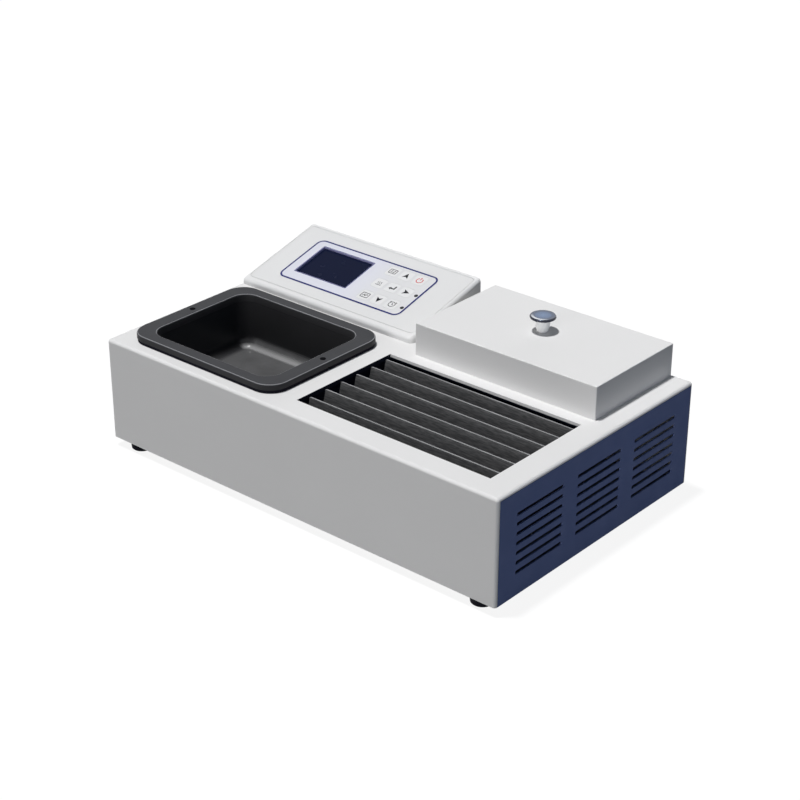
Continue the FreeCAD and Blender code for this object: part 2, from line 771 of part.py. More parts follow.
def case_screws():
    """One size of screw, up through the base plate and up through the deck into the housing."""
    places = COVER_SCREWS + PANEL_SCREWS[LEFT] + PANEL_SCREWS[RIGHT] + BRACKET_SCREWS + DUCT_SCREWS
    seats = spots(places, BOTTOM) + spots(HOUSING_SCREWS, UNDER_DECK)
    group("case_screws", [screw(seat, number("2*sheet + screw_bite")) for seat in seats])


# Flotation pan


def bath_pan():
    body = new_body("bath_pan")
    rim = f"{PAN_TOP} - rim_depth"
    block(body, "flange", PAN_LEFT, PAN_RIGHT, PAN_FRONT, PAN_BACK, rim, "rim_depth", "flange_round")
    round_off(body, "flange_edge", "flange_edge_round", flat_at(PAN_TOP))
    window(body, "under_flange", rim, "rim_depth - pan_wall", f"{PAN_LEFT} + pan_wall",
           f"{PAN_RIGHT} - pan_wall", f"{PAN_FRONT} + pan_wall", f"{PAN_BACK} - pan_wall",
           "(flange_round - pan_wall)")

    bowl = [f"{PAN_LEFT} + land_ends", f"{PAN_RIGHT} - land_ends",
            f"{PAN_FRONT} + land_sides", f"{PAN_BACK} - land_sides"]
    outer = [f"{edge} {way} pan_wall" for edge, way in zip(bowl, "-+-+")]
    floor = f"{PAN_TOP} - bowl_depth"
    outside = new_sketch(body, "bowl_outline", "XY_Plane", f"{PAN_TOP} - pan_wall")
    rectangle(outside, *outer)
    pad(body, outside, "bowl", "bowl_depth", down=True, taper="-bowl_taper")
    inside = new_sketch(body, "hollow_outline", "XY_Plane", PAN_TOP)
    rectangle(inside, *bowl)
    cut(body, inside, "hollow", "bowl_depth", taper="-bowl_taper")
    round_off(body, "hollow_corners", "bowl_round", rising_from(floor))
    round_off(body, "hollow_floor", "bowl_floor_round", flat_at(floor))
    round_off(body, "bowl_corners", "bowl_round + pan_wall", rising_from(BOWL_UNDER))
    round_off(body, "bowl_bottom", "bowl_floor_round + pan_wall", flat_at(BOWL_UNDER))
    round_off(body, "hollow_lip", "bowl_lip_round",
              lambda box: flat_at(PAN_TOP)(box) and box.XMin > number(bowl[0]) - 0.1
              and box.XMax < number(bowl[1]) + 0.1)
    hole(body, "screw_holes", f"{PAN_TOP} - pan_wall", "pan_wall", PAN_SCREWS, "screw_hole")


def bath_gasket():
    body = new_body("bath_gasket")
    edges = [PAN_LEFT, PAN_RIGHT, PAN_FRONT, PAN_BACK]
    height = "flange_rise - rim_depth"
    block(body, "ring", *[f"{edge} {way} gasket_inset" for edge, way in zip(edges, "+-+-")],
          DECK, height, "(flange_round - gasket_inset)")
    window(body, "middle", DECK, height,
           *[f"{edge} {way} (gasket_inset + gasket_width)" for edge, way in zip(edges, "+-+-")],
           "(flange_round - gasket_inset - gasket_width)")
    window(body, "notch", DECK, height, f"{PAN_RIGHT} - gasket_inset - gasket_width/2", PAN_RIGHT,
           f"{PAN_Y} - gasket_notch/2", f"{PAN_Y} + gasket_notch/2")


def bath_fasteners():
    rise = number("flange_rise")
    wall = number("pan_wall")
    length = number("sheet") + rise - wall/2
    group("bath_screws", [screw(spot, length) for spot in spots(PAN_SCREWS, UNDER_DECK)])
    group("bath_spacers", [sleeve(spot, rise - wall, number("pan_spacer/2"), number("screw_hole/2"))
                           for spot in spots(PAN_SCREWS, DECK)])


def heating_mat(name, x, y, z_low, length, width):
    """A flat heating mat with a round hole in its middle for the sensor."""
    body = new_body(name)
    sketch = new_sketch(body, "mat_outline", "XY_Plane", z_low)
    centred(sketch, x, y, length, width, "bend_radius")
    pad(body, sketch, "mat", "heater_thickness")
    hole(body, "sensor_hole", z_low, "heater_thickness", [(x, y)], "sensor_disc + 2*sensor_play")


def sensor(name, x, y, z_top):
    """A disc sensor against a metal surface above it, with the stem of its leads below."""
    body = new_body(name)
    turn(body, "disc", [("0", "-sensor_length"), ("sensor_stem/2", "-sensor_length"),
                        ("sensor_stem/2", "-heater_thickness"), ("sensor_disc/2", "-heater_thickness"),
                        ("sensor_disc/2", "0"), ("0", "0")])
    place(body, x, y, z_top)


def bath_heating():
    heating_mat("bath_heater", PAN_X, PAN_Y, f"{BOWL_UNDER} - heater_thickness",
                "bath_heater_length", "bath_heater_width")
    sensor("bath_sensor", PAN_X, PAN_Y, BOWL_UNDER)

    felt = new_body("bath_insulation")
    felt_low = f"({BOWL_UNDER} - heater_thickness - felt_thickness)"
    sketch = new_sketch(felt, "felt_outline", "XY_Plane", felt_low)
    centred(sketch, PAN_X, PAN_Y, "bath_heater_length", "bath_heater_width", "bend_radius")
    pad(felt, sketch, "felt", "felt_thickness")
    hole(felt, "lead_hole", felt_low, "felt_thickness", [(PAN_X, PAN_Y)], "sensor_stem + 2*sensor_play")

    bracket = new_body("bath_bracket")
    profile = rear_sketch(bracket, "hat_profile", f"{PAN_Y} + bracket_width/2")
    foot, leg = "bracket_length/2", "bracket_reach/2"
    left = [(f"{PAN_X} - {foot}", PLATE_TOP), (f"{PAN_X} - {leg} + sheet", PLATE_TOP),
            (f"{PAN_X} - {leg} + sheet", f"{felt_low} - sheet")]
    right = [(f"{PAN_X} + {leg} - sheet", f"{felt_low} - sheet"), (f"{PAN_X} + {leg} - sheet", PLATE_TOP),
             (f"{PAN_X} + {foot}", PLATE_TOP), (f"{PAN_X} + {foot}", f"{PLATE_TOP} + sheet"),
             (f"{PAN_X} + {leg}", f"{PLATE_TOP} + sheet"), (f"{PAN_X} + {leg}", felt_low)]
    close = [(f"{PAN_X} - {leg}", felt_low), (f"{PAN_X} - {leg}", f"{PLATE_TOP} + sheet"),
             (f"{PAN_X} - {foot}", f"{PLATE_TOP} + sheet")]
    polygon(profile, left + right + close)
    pad(bracket, profile, "hat", "bracket_width")
    hole(bracket, "foot_holes", PLATE_TOP, "sheet", BRACKET_SCREWS, "screw_hole")
    hole(bracket, "lead_hole", f"{felt_low} - sheet", "sheet", [(PAN_X, PAN_Y)],
         "sensor_stem + 2*sensor_play")


# Slide drying well


def slide_well():
    body = new_body("slide_well")
    edges = [WELL_LEFT, WELL_RIGHT, WELL_FRONT, WELL_BACK]

    def grown(by):
        return [f"{edge} {way} ({by})" for edge, way in zip(edges, "-+-+")]

    block(body, "tub", *grown(f"{LINER} + well_wall"), WELL_UNDER, f"{UNDER_DECK} - {WELL_UNDER}")
    block(body, "flange", *grown(f"{LINER} + well_wall + well_flange"),
          f"{UNDER_DECK} - well_wall", "well_wall")
    window(body, "inside", WELL_FLOOR, f"{UNDER_DECK} - {WELL_FLOOR}", *grown(LINER))
    air = new_sketch(body, "vent_outline", "XY_Plane", WELL_UNDER)
    for side in "-+":
        middle = f"{WELL_X} {side} duct_length/5"
        slot(air, f"{middle} - vent_length/2", f"{middle} + vent_length/2",
             f"{WELL_Y} - vent_pitch*(vent_rows - 1)/2", "vent_width")
    first = cut(body, air, "vent", "well_wall", forward=True)
    row_of(body, first, "vents", "V_Axis", "vent_pitch*(vent_rows - 1)", "vent_rows")


def leaning(across, up):
    """A point in the rearmost plate's cross-section, from its top back edge, as Y and Z."""
    return (f"{RACK_BACK} + (({across}) + ({up})*plate_slope)/{PLATE_SLANT}",
            f"{RACK_TOP} + (({up}) - ({across})*plate_slope)/{PLATE_SLANT}")


def slide_plate(k):
    body = new_body(f"slide_plate_{k + 1}")
    block(body, "plate", f"{WELL_LEFT} + rack_end_gap", f"{WELL_RIGHT} - rack_end_gap",
          "-plate_thickness", "0", f"-{PLATE_HEIGHT}", PLATE_HEIGHT)
    round_off(body, "lower_corners", "plate_corner",
              lambda box: near(box.ZMax, f"-{PLATE_HEIGHT}") and box.XLength < 0.01)
    lean(body, "atan(plate_slope)", f"{RACK_BACK} - {k}*rack_pitch", RACK_TOP, way=-1)


def rack_comb(name, x_low):
    """A strip on the floor of the well. Its slanted notches hold the feet of the plates."""
    body = new_body(name)
    strip = new_sketch(body, "strip_outline", "YZ_Plane", x_low)
    rectangle(strip, f"{WELL_FRONT} - {LINER} + slip_fit", f"{WELL_BACK} + {LINER} - slip_fit",
              WELL_FLOOR, f"{WELL_FLOOR} + comb_height")
    pad(body, strip, "strip", "comb_thickness")
    notch = new_sketch(body, "notch_outline", "YZ_Plane", x_low)
    front, back = "-plate_thickness - slip_fit", "slip_fit"
    foot, mouth = f"-{PLATE_HEIGHT}", f"comb_height*2 - {PLATE_HEIGHT}"
    polygon(notch, [leaning(front, foot), leaning(back, foot), leaning(back, mouth), leaning(front, mouth)])
    first = cut(body, notch, "notch", "comb_thickness", forward=True)
    row_of(body, first, "notches", "H_Axis", "rack_pitch*(rack_plates - 1)", "rack_plates", backward=True)


def air_duct():
    body = new_body("air_duct")
    edges = [f"{WELL_X} - duct_length/2", f"{WELL_X} + duct_length/2",
             f"{WELL_Y} - duct_width/2", f"{WELL_Y} + duct_width/2"]
    height = f"{WELL_UNDER} - {PLATE_TOP}"
    block(body, "walls", *edges, PLATE_TOP, height)
    block(body, "flange", f"{edges[0]} - duct_flange", f"{edges[1]} + duct_flange", *edges[2:],
          PLATE_TOP, "well_wall")
    window(body, "inside", PLATE_TOP, height,
           *[f"{edge} {way} well_wall" for edge, way in zip(edges, "+-+-")])
    hole(body, "screw_holes", PLATE_TOP, "well_wall", DUCT_SCREWS, "screw_hole")


def fan_frame():
    """A square frame with the motor on spokes in its bore. It stands on the base plate."""
    body = new_body("fan_frame")
    half = "fan_size/2"
    block(body, "square", f"-{half}", half, f"-{half}", half, "0", "fan_depth", "bend_radius")
    hole(body, "bore", "0", "fan_depth", [("0", "0")], "fan_size - 2*fan_rim")
    hole(body, "corner_holes", "0", "fan_depth",
         corners("-fan_size*0.45", "fan_size*0.45", "-fan_size*0.45", "fan_size*0.45"), "screw_hole")
    spokes = new_sketch(body, "spoke_outline", "XY_Plane", "0")
    rectangle(spokes, "-(fan_size/2 - fan_rim/2)", "fan_size/2 - fan_rim/2", "-fan_spoke/2", "fan_spoke/2")
    pad(body, spokes, "spoke", "fan_floor")
    crossing = new_sketch(body, "crossing_outline", "XY_Plane", "0")
    rectangle(crossing, "-fan_spoke/2", "fan_spoke/2", "-(fan_size/2 - fan_rim/2)", "fan_size/2 - fan_rim/2")
    pad(body, crossing, "crossing", "fan_floor")
    post(body, "motor_floor", "0", "fan_floor", [("0", "0")], "hub_diameter")
    post(body, "stator", "0", "stator_height", [("0", "0")], "stator_diameter")
    hole(body, "bearing", "0", "stator_height", [("0", "0")], "shaft_diameter + 2*shaft_play")
    place(body, WELL_X, WELL_Y, PLATE_TOP)


def fan_rotor():
    body = new_body("fan_rotor")
    low, roof, top = "(fan_floor + blade_gap)", "(stator_height + blade_gap)", "(fan_depth - blade_gap)"
    turn(body, "hub", [("0", low), ("shaft_diameter/2", low), ("shaft_diameter/2", roof),
                       ("hub_diameter/2 - hub_wall", roof), ("hub_diameter/2 - hub_wall", low),
                       ("hub_diameter/2", low), ("hub_diameter/2", top), ("0", top)])
    root = "sqrt(hub_diameter*hub_diameter/4 - blade_chord*blade_chord/4)"
    reach = "(fan_size/2 - fan_rim - blade_gap)"
    tip = f"sqrt({reach}*{reach} - blade_chord*blade_chord/4)"
    section = new_sketch(body, "blade_section", "YZ_Plane", root)
    polygon(section, [("-blade_chord/2", low), ("blade_thickness - blade_chord/2", low),
                      ("blade_chord/2", top), ("blade_chord/2 - blade_thickness", top)])
    blade = pad(body, section, "blade", f"{tip} - {root}")
    pattern = body.newObject("PartDesign::PolarPattern", "blades")
    pattern.Originals = [blade]
    pattern.Axis = (origin_item(body, "Z_Axis"), [""])
    pattern.Angle = 360
    bind(pattern, Occurrences="fan_blades")
    body.Tip = pattern
    place(body, WELL_X, WELL_Y, PLATE_TOP)


def well_heater():
    """A rod bent into a U, and the two clips that carry it above the base plate."""
    radius = number("rod_diameter/2")
    spread = number("rod_spread/2")
    z = number(f"{PLATE_TOP} + rod_height")
    y = number(WELL_Y)
    left = number(f"{WELL_X} - duct_length/2 + rod_end_gap")
    right = number(f"{WELL_X} + duct_length/2 - rod_end_gap - rod_spread/2")
    near_leg = FreeCAD.Vector(left, y - spread, z), FreeCAD.Vector(right, y - spread, z)
    far_leg = FreeCAD.Vector(right, y + spread, z), FreeCAD.Vector(left, y + spread, z)
    bend = Part.Arc(near_leg[1], FreeCAD.Vector(right + spread, y, z), far_leg[0])
    path = Part.Wire([Part.makeLine(*near_leg), bend.toShape(), Part.makeLine(*far_leg)])
    section = Part.Wire(Part.makeCircle(radius, near_leg[0], FreeCAD.Vector(1, 0, 0)))
    group("well_heater", [path.makePipeShell([section], True, False)])

    play = number("slip_fit")
    foot = number("return_flange")
    sheet_size = number("sheet")
    floor = number(PLATE_TOP)
    width = 2*spread + 6*radius
    clips = []
    for x in (left + number("clip_inset"), right - number("clip_inset")):
        leaf = Part.makeBox(sheet_size, width, z + 2*radius - floor,
                            FreeCAD.Vector(x, y - width/2, floor))
        base = Part.makeBox(foot, width, sheet_size, FreeCAD.Vector(x, y - width/2, floor))
        clip = leaf.fuse(base)
        for leg_y in (y - spread, y + spread):
            clip = clip.cut(Part.makeCylinder(radius + play, sheet_size*3,
                                              FreeCAD.Vector(x - sheet_size, leg_y, z), FreeCAD.Vector(1, 0, 0)))
        clips.append(clip.removeSplitter())
    group("heater_brackets", clips)


# Warming tray and lid


def lid():
    body = new_body("lid")
    block(body, "box", LID_LEFT, LID_RIGHT, LID_FRONT, LID_BACK, DECK, "lid_height")
    round_off(body, "edges", "lid_edge_round", lambda box: upright(box) or flat_at(LID_TOP)(box))
    window(body, "inside", DECK, "lid_height - lid_wall", f"{LID_LEFT} + lid_wall",
           f"{LID_RIGHT} - lid_wall", f"{LID_FRONT} + lid_wall", f"{LID_BACK} - lid_wall")
    hole(body, "knob_hole", f"{LID_TOP} - lid_wall", "lid_wall", [(KNOB_X, KNOB_Y)], "screw_hole")


def lid_knob():
    body = new_body("lid_knob")
    bore, screw_depth = "screw_hole/2", "knob_height/2"
    under_head = "(knob_height - knob_edge)"
    turn(body, "shape", [
        (bore, "0"), ("knob_base/2", "0"), ("knob_stem/2 - knob_flare", "knob_edge/2"),
        ("knob_stem/2", "2*knob_edge"), ("knob_stem/2", under_head), ("knob_head/2", under_head), ("knob_head/2", "knob_height"), ("0", "knob_height"),
        ("0", screw_depth), (bore, screw_depth)])
    round_off(body, "head_edges", "knob_round",
              lambda box: near(box.XMax, "knob_head/2") and box.ZLength < 0.01)
    place(body, KNOB_X, KNOB_Y, LID_TOP)
    seat = (number(KNOB_X), number(KNOB_Y), number(f"{LID_TOP} - lid_wall"))
    group("knob_screw", [screw(seat, number("lid_wall + knob_height/2 - screw_bite/2"))])


def warming_tray():
    body = new_body("warming_tray")
    edges = [TRAY_LEFT, TRAY_RIGHT, TRAY_FRONT, TRAY_BACK]
    bowl = [f"{edge} {way} tray_land" for edge, way in zip(edges, "+-+-")]
    outer = [f"{edge} {way} tray_wall" for edge, way in zip(bowl, "-+-+")]
    block(body, "flange", *edges, DECK, "tray_wall", "tray_round")
    block(body, "bowl", *outer, TRAY_UNDER, f"{DECK} - {TRAY_UNDER}", "tray_round")
    window(body, "hollow", f"{TRAY_TOP} - tray_depth", "tray_depth", *bowl, "(tray_round - tray_wall)")
    heating_mat("warming_heater", LID_X, LID_Y, f"{TRAY_UNDER} - heater_thickness",
                "lid_length - 2*(tray_inset + tray_land + tray_heater_margin)",
                "lid_width - 2*(tray_inset + tray_land + tray_heater_margin)")
    sensor("warming_sensor", LID_X, LID_Y, TRAY_UNDER)


# Control housing


def on_face(y):
    """Height of the sloping face's plane at a depth y."""
    return f"({FACE_Z} + face_slope*({y} - {FACE_Y}))"


def control_housing():
    body = new_body("control_housing")
    side = new_sketch(body, "wedge_profile", "YZ_Plane", HOUSING_LEFT)
    polygon(side, [(HOUSING_FRONT, DECK), (HOUSING_BACK, DECK), (HOUSING_BACK, on_face(HOUSING_BACK)),
                   (HOUSING_FRONT, on_face(HOUSING_FRONT))])
    pad(body, side, "wedge", "housing_length")
    def at_back(box):
        return near(box.YMin, HOUSING_BACK)

    def on_top(box):
        return box.ZMin > number(DECK) + 1

    round_off(body, "front_corners", "housing_round", lambda box: upright(box) and not at_back(box))
    round_off(body, "nose", "housing_nose", lambda box: on_top(box) and not at_back(box))
    round_off(body, "back_edges", "housing_back_round", lambda box: at_back(box) and (upright(box) or on_top(box)))
    wall = "housing_wall"
    roof = f"housing_roof*{SLANT}"
    inside = new_sketch(body, "inside_profile", "YZ_Plane", f"{HOUSING_LEFT} + {wall}")
    front, back = f"({HOUSING_FRONT} + {wall})", f"({HOUSING_BACK} - {wall})"
    polygon(inside, [(front, DECK), (back, DECK), (back, f"{on_face(back)} - {roof}"),
                     (front, f"{on_face(front)} - {roof}")])
    cut(body, inside, "inside", f"housing_length - 2*{wall}", forward=True)
    post(body, "bosses", DECK, "boss_height", HOUSING_SCREWS, "boss_diameter")
    hole(body, "boss_holes", DECK, "boss_height - slip_fit", HOUSING_SCREWS, "screw_hole")

    recess = new_sketch(body, "recess_outline", "XY_Plane", FACE_Z, "face_slope", FACE_Y)
    rectangle(recess, f"{FACE_LEFT} - seam_gap", f"{FACE_RIGHT} + seam_gap",
              "-seam_gap", f"{FACE_LENGTH} + seam_gap", "(face_round + seam_gap)")
    cut(body, recess, "recess", "face_thickness")
    opening = new_sketch(body, "opening_outline", "XY_Plane", FACE_Z, "face_slope", FACE_Y)
    rectangle(opening, f"{FACE_LEFT} + face_ledge", f"{FACE_RIGHT} - face_ledge",
              "face_ledge", f"{FACE_LENGTH} - face_ledge", "face_round")
    cut(body, opening, "opening", "housing_roof")


KEYS = {
    "key_menu": (0, 0), "key_down": (1, 0), "key_clock": (2, 0),
    "key_mode": (0, 1), "key_enter": (1, 1), "key_right": (2, 1),
    "key_program": (0, 2), "key_up": (1, 2), "key_power": (2, 2),
}


def key_spot(column, row):
    return (f"({KEYPAD_LEFT} + key_first_x + {column}*key_pitch_x)",
            f"(keypad_start + key_first_y + {row}*key_pitch_y)")


LAMPS = [(f"({KEYPAD_LEFT} + lamp_x)", key_spot(0, row)[1]) for row in (0, 1)]


def panel_openings(body, name, z_low, length):
    """The window of the display, the holes of the keys and those of the lamps, in one pocket."""
    sketch = new_sketch(body, name + "_outline", "XY_Plane", z_low)
    rectangle(sketch, SCREEN_LEFT, f"{SCREEN_LEFT} + screen_length",
              SCREEN_START, f"{SCREEN_START} + screen_depth")
    for spot in KEYS.values():
        centred(sketch, *key_spot(*spot), "(key_size + 2*key_gap)", "(key_size + 2*key_gap)",
                "(key_round + key_gap)")
    for x, y in LAMPS:
        circle(sketch, x, y, "lamp_diameter/2")
    cut(body, sketch, name, length, forward=True)


def face_plate():
    body = new_body("face_plate")
    block(body, "plate", FACE_LEFT, FACE_RIGHT, "0", FACE_LENGTH, "-face_thickness", "face_thickness",
          "face_round")
    panel_openings(body, "openings", "-face_thickness", "face_thickness")
    post(body, "board_posts", BOARD_TOP, f"-face_thickness - {BOARD_TOP}",
         corners(f"{BOARD_LEFT} + post_inset", f"{BOARD_RIGHT} - post_inset",
                 f"{BOARD_START} + post_inset", f"{BOARD_END} - post_inset"), "post_diameter")
    lay_on_face(body)

    film = new_body("keypad_overlay")
    block(film, "film", KEYPAD_LEFT, KEYPAD_RIGHT, "keypad_start", "keypad_start + keypad_depth",
          "0", "film_thickness", "keypad_round")
    panel_openings(film, "openings", "0", "film_thickness")
    lay_on_face(film)


def display():
    lens = new_body("lcd_lens")
    edges = [SCREEN_LEFT, f"{SCREEN_LEFT} + screen_length", SCREEN_START, f"{SCREEN_START} + screen_depth"]
    block(lens, "pane", *[f"{edge} {way} lens_margin" for edge, way in zip(edges, "-+-+")],
          "-(face_thickness + lens_thickness)", "lens_thickness")
    lay_on_face(lens)
    module = new_body("lcd_module")
    block(module, "frame", *[f"{edge} {way} module_margin" for edge, way in zip(edges, "-+-+")],
          BOARD_TOP, "module_depth")
    lay_on_face(module)


def key_board():
    body = new_body("key_board")
    block(body, "board", BOARD_LEFT, BOARD_RIGHT, BOARD_START, BOARD_END,
          f"{BOARD_TOP} - board_thickness", "board_thickness")
    switches = new_sketch(body, "switch_outline", "XY_Plane", BOARD_TOP)
    for spot in KEYS.values():
        centred(switches, *key_spot(*spot), "tact_size", "tact_size")
    pad(body, switches, "switches", "tact_body")
    post(body, "switch_buttons", BOARD_TOP, "tact_height", [key_spot(*spot) for spot in KEYS.values()],
         "tact_button")
    lay_on_face(body)

    radius = number("lamp_diameter/2 - lamp_play")
    flange = number("lamp_diameter/2 + lamp_play*2")
    low = number(BOARD_TOP)
    step = low + number("tact_body")
    tip = number("film_thickness")
    profile = [(0, low), (flange, low), (flange, step), (radius, step), (radius, 0),
               (radius*0.7, tip*0.7), (0, tip)]
    lamps = group("status_leds", [turned(profile, spot) for spot in spots(LAMPS, "0")])
    lay_on_face(lamps)


def key(name, column, row):
    """A key cap flush with the film, and the stem that stands just over its switch."""
    body = new_body(name)
    x, y = key_spot(column, row)
    cap = new_sketch(body, "cap_outline", "XY_Plane", "-key_cap")
    centred(cap, x, y, "key_size", "key_size", "key_round")
    pad(body, cap, "cap", "key_cap + film_thickness")
    stem_low = f"({BOARD_TOP} + tact_height + key_travel + tact_gap)"
    post(body, "stem", stem_low, f"-key_cap - {stem_low}", [(x, y)], "key_stem")
    lay_on_face(body)


# Rear fittings and power board


def mains_inlet():
    body = new_body("mains_inlet")
    bezel = rear_sketch(body, "bezel_outline", BEZEL)
    centred(bezel, "inlet_centre_x", INLET_Z, "inlet_length", "inlet_height", "fitting_round")
    pad(body, bezel, "bezel", "bezel_thickness")
    shell = rear_sketch(body, "shell_outline", BACK)
    centred(shell, "inlet_centre_x", INLET_Z, "inlet_body", f"2*{INLET_HALF}")
    pad(body, shell, "shell", "sheet + inlet_depth")
    socket = rear_sketch(body, "socket_outline", BEZEL)
    centred(socket, "inlet_centre_x", SOCKET_Z, "socket_length", "socket_height", "fitting_round")
    cut(body, socket, "socket", "socket_depth", forward=True)
    blades = rear_sketch(body, "blades_outline", f"{BEZEL} - socket_depth")
    for x, z in (("-blade_spread", "-blade_offset"), ("blade_spread", "-blade_offset"), ("0", "blade_offset")):
        centred(blades, f"inlet_centre_x + {x}", f"{SOCKET_Z} + {z}", "blade_width", "blade_height")
    pad(body, blades, "blades", "blade_length", down=True)
    drawer = rear_sketch(body, "drawer_outline", BEZEL)
    centred(drawer, "inlet_centre_x", DRAWER_Z, "drawer_length + 2*drawer_play",
            "drawer_height + 2*drawer_play")
    cut(body, drawer, "drawer_slot", "drawer_depth", forward=True)
    screws = rear_sketch(body, "screw_outline", BEZEL)
    for x, z in INLET_SCREWS:
        circle(screws, x, z, "screw_hole/2")
    cut(body, screws, "screw_holes", "bezel_thickness", forward=True)
    sinks = rear_sketch(body, "sinks_outline", BEZEL)
    for x, z in INLET_SCREWS:
        circle(sinks, x, z, "screw_head/2 + drawer_play")
    cut(body, sinks, "screw_sinks", "screw_head_height", forward=True)
    length = number("bezel_thickness + sheet + screw_bite - screw_head_height")
    seat = number(f"{BEZEL} - screw_head_height")
    group("inlet_screws", [screw((number(x), seat, number(z)), length, (0, -1, 0)) for x, z in INLET_SCREWS])


def fuse_drawer():
    body = new_body("fuse_drawer")
    front = rear_sketch(body, "tray_outline", BEZEL)
    centred(front, "inlet_centre_x", DRAWER_Z, "drawer_length", "drawer_height")
    pad(body, front, "tray", "drawer_depth")
    fuse_y = f"({BEZEL} - drawer_depth/2)"
    hollow = new_sketch(body, "hollow_outline", "XY_Plane", f"{DRAWER_Z} + drawer_height/2")
    centred(hollow, "inlet_centre_x", fuse_y, "drawer_length - 2*drawer_wall",
            "fuse_diameter + 2*drawer_wall")
    cut(body, hollow, "hollow", "fuse_diameter + drawer_wall/2")
    radius = number("fuse_diameter/2")
    cap = radius*0.96
    length = number("drawer_length - 2*drawer_wall - 2*drawer_play")
    band = length/4
    seat = (number("inlet_centre_x") - length/2, number(fuse_y),
            number(f"{DRAWER_Z} + drawer_height/2 - drawer_wall/2") - radius)
    profile = [(0, 0), (radius, 0), (radius, band), (cap, band), (cap, length - band),
               (radius, length - band), (radius, length), (0, length)]
    group("fuse", [turned(profile, seat, (1, 0, 0))])


def rocker_switch():
    body = new_body("switch_body")
    bezel = rear_sketch(body, "bezel_outline", BEZEL)
    centred(bezel, "switch_centre_x", INLET_Z, "switch_length", "switch_height", "fitting_round")
    pad(body, bezel, "bezel", "bezel_thickness")
    shell = rear_sketch(body, "shell_outline", BACK)
    centred(shell, "switch_centre_x", INLET_Z, "switch_length - 2*switch_lip", "switch_height - 2*switch_lip")
    pad(body, shell, "shell", "sheet + switch_depth")
    well = rear_sketch(body, "well_outline", BEZEL)
    centred(well, "switch_centre_x", INLET_Z, "rocker_length + rocker_play", "rocker_height + 2*rocker_play")
    cut(body, well, "well", "rocker_well", forward=True)
    pins = new_sketch(body, "pins_outline", "YZ_Plane",
                      "switch_centre_x - (rocker_length/2 + pin_length + pin_play)")
    circle(pins, f"{BEZEL} - rocker_setback", INLET_Z, "pin_diameter/2 + pin_play")
    cut(body, pins, "pin_holes", "rocker_length + 2*pin_length + 2*pin_play", forward=True)

    rocker = new_body("switch_rocker")
    side = new_sketch(rocker, "rocker_profile", "YZ_Plane", "switch_centre_x - rocker_length/2")
    polygon(side, [("rocker_face", "-rocker_height/2"), ("rocker_face - rocker_dip", "0"),
                   ("rocker_face", "rocker_height/2"), ("0", "rocker_height/2"),
                   ("-pin_diameter", "pin_diameter"), ("-pin_diameter", "-pin_diameter"),
                   ("0", "-rocker_height/2")])
    pad(rocker, side, "rocker", "rocker_length")
    axle = new_sketch(rocker, "axle_outline", "YZ_Plane", "switch_centre_x - rocker_length/2 - pin_length")
    circle(axle, "0", "0", "pin_diameter/2")
    pad(rocker, axle, "axle", "rocker_length + 2*pin_length")
    lean(rocker, "rocker_tilt", f"{BEZEL} - rocker_setback", INLET_Z, way=-1)


def power_board():
    body = new_body("power_board")
    top = f"({POWER_Z} + board_thickness)"
    block(body, "board", POWER_LEFT, f"{POWER_LEFT} + power_length",
          POWER_FRONT, f"{POWER_FRONT} + power_width", POWER_Z, "board_thickness")
    parts = {
        "transformer": (14, 54, 40, 75, 28),
        "terminals": (64, 134, 72, 84, 12),
        "heat_sink": (110, 136, 14, 22, 30),
    }
    for name, (x_low, x_high, y_low, y_high, height) in parts.items():
        block(body, name, f"{POWER_LEFT} + {x_low}", f"{POWER_LEFT} + {x_high}",
              f"{POWER_FRONT} + {y_low}", f"{POWER_FRONT} + {y_high}", top, str(height))
    relay = block(body, "relay", f"{POWER_LEFT} + 64", f"{POWER_LEFT} + 80",
                  f"{POWER_FRONT} + 38", f"{POWER_FRONT} + 58", top, "16")
    row_of(body, relay, "relays", "H_Axis", "44", "3")
    post(body, "capacitors", top, "22", [(f"{POWER_LEFT} + {x}", f"{POWER_FRONT} + 20") for x in (28, 50)], "16")
    hole(body, "post_holes", POWER_Z, "board_thickness", POWER_POSTS, "post_peg + 2*shaft_play")
    peg, wide = number("post_peg/2"), number("post_diameter/2 + shaft_diameter/6")
    sheet_size, rise, board = number("sheet"), number("power_standoff"), number("board_thickness")
    profile = [(0, -sheet_size), (peg, -sheet_size), (peg, 0), (wide, 0), (wide, rise), (peg, rise),
               (peg, rise + board*1.8), (0, rise + board*1.8)]
    group("board_standoffs", [turned(profile, spot) for spot in spots(POWER_POSTS, PLATE_TOP)])


# Checks and writing


def check_and_write():
    doc.recompute()
    for thing in doc.Objects:
        if {"Invalid", "Error"} & set(thing.State):
            raise RuntimeError(f"{thing.Name} ({thing.Label}) failed: {thing.State}")
    os.makedirs("parts", exist_ok=True)
    for thing in PARTS:
        shape = thing.Shape
        if shape.isNull() or not shape.isValid() or not shape.Solids:
            raise RuntimeError(f"{thing.Label} has no valid solid")
        shape.exportStep(f"parts/{thing.Label}.step")
        box = shape.BoundBox
        print(f"{thing.Label:18s} {len(shape.Solids):2d} {shape.Volume:9.0f}"
              f"  x {box.XMin:7.1f} {box.XMax:7.1f}  y {box.YMin:7.1f} {box.YMax:7.1f}"
              f"  z {box.ZMin:6.1f} {box.ZMax:6.1f}")


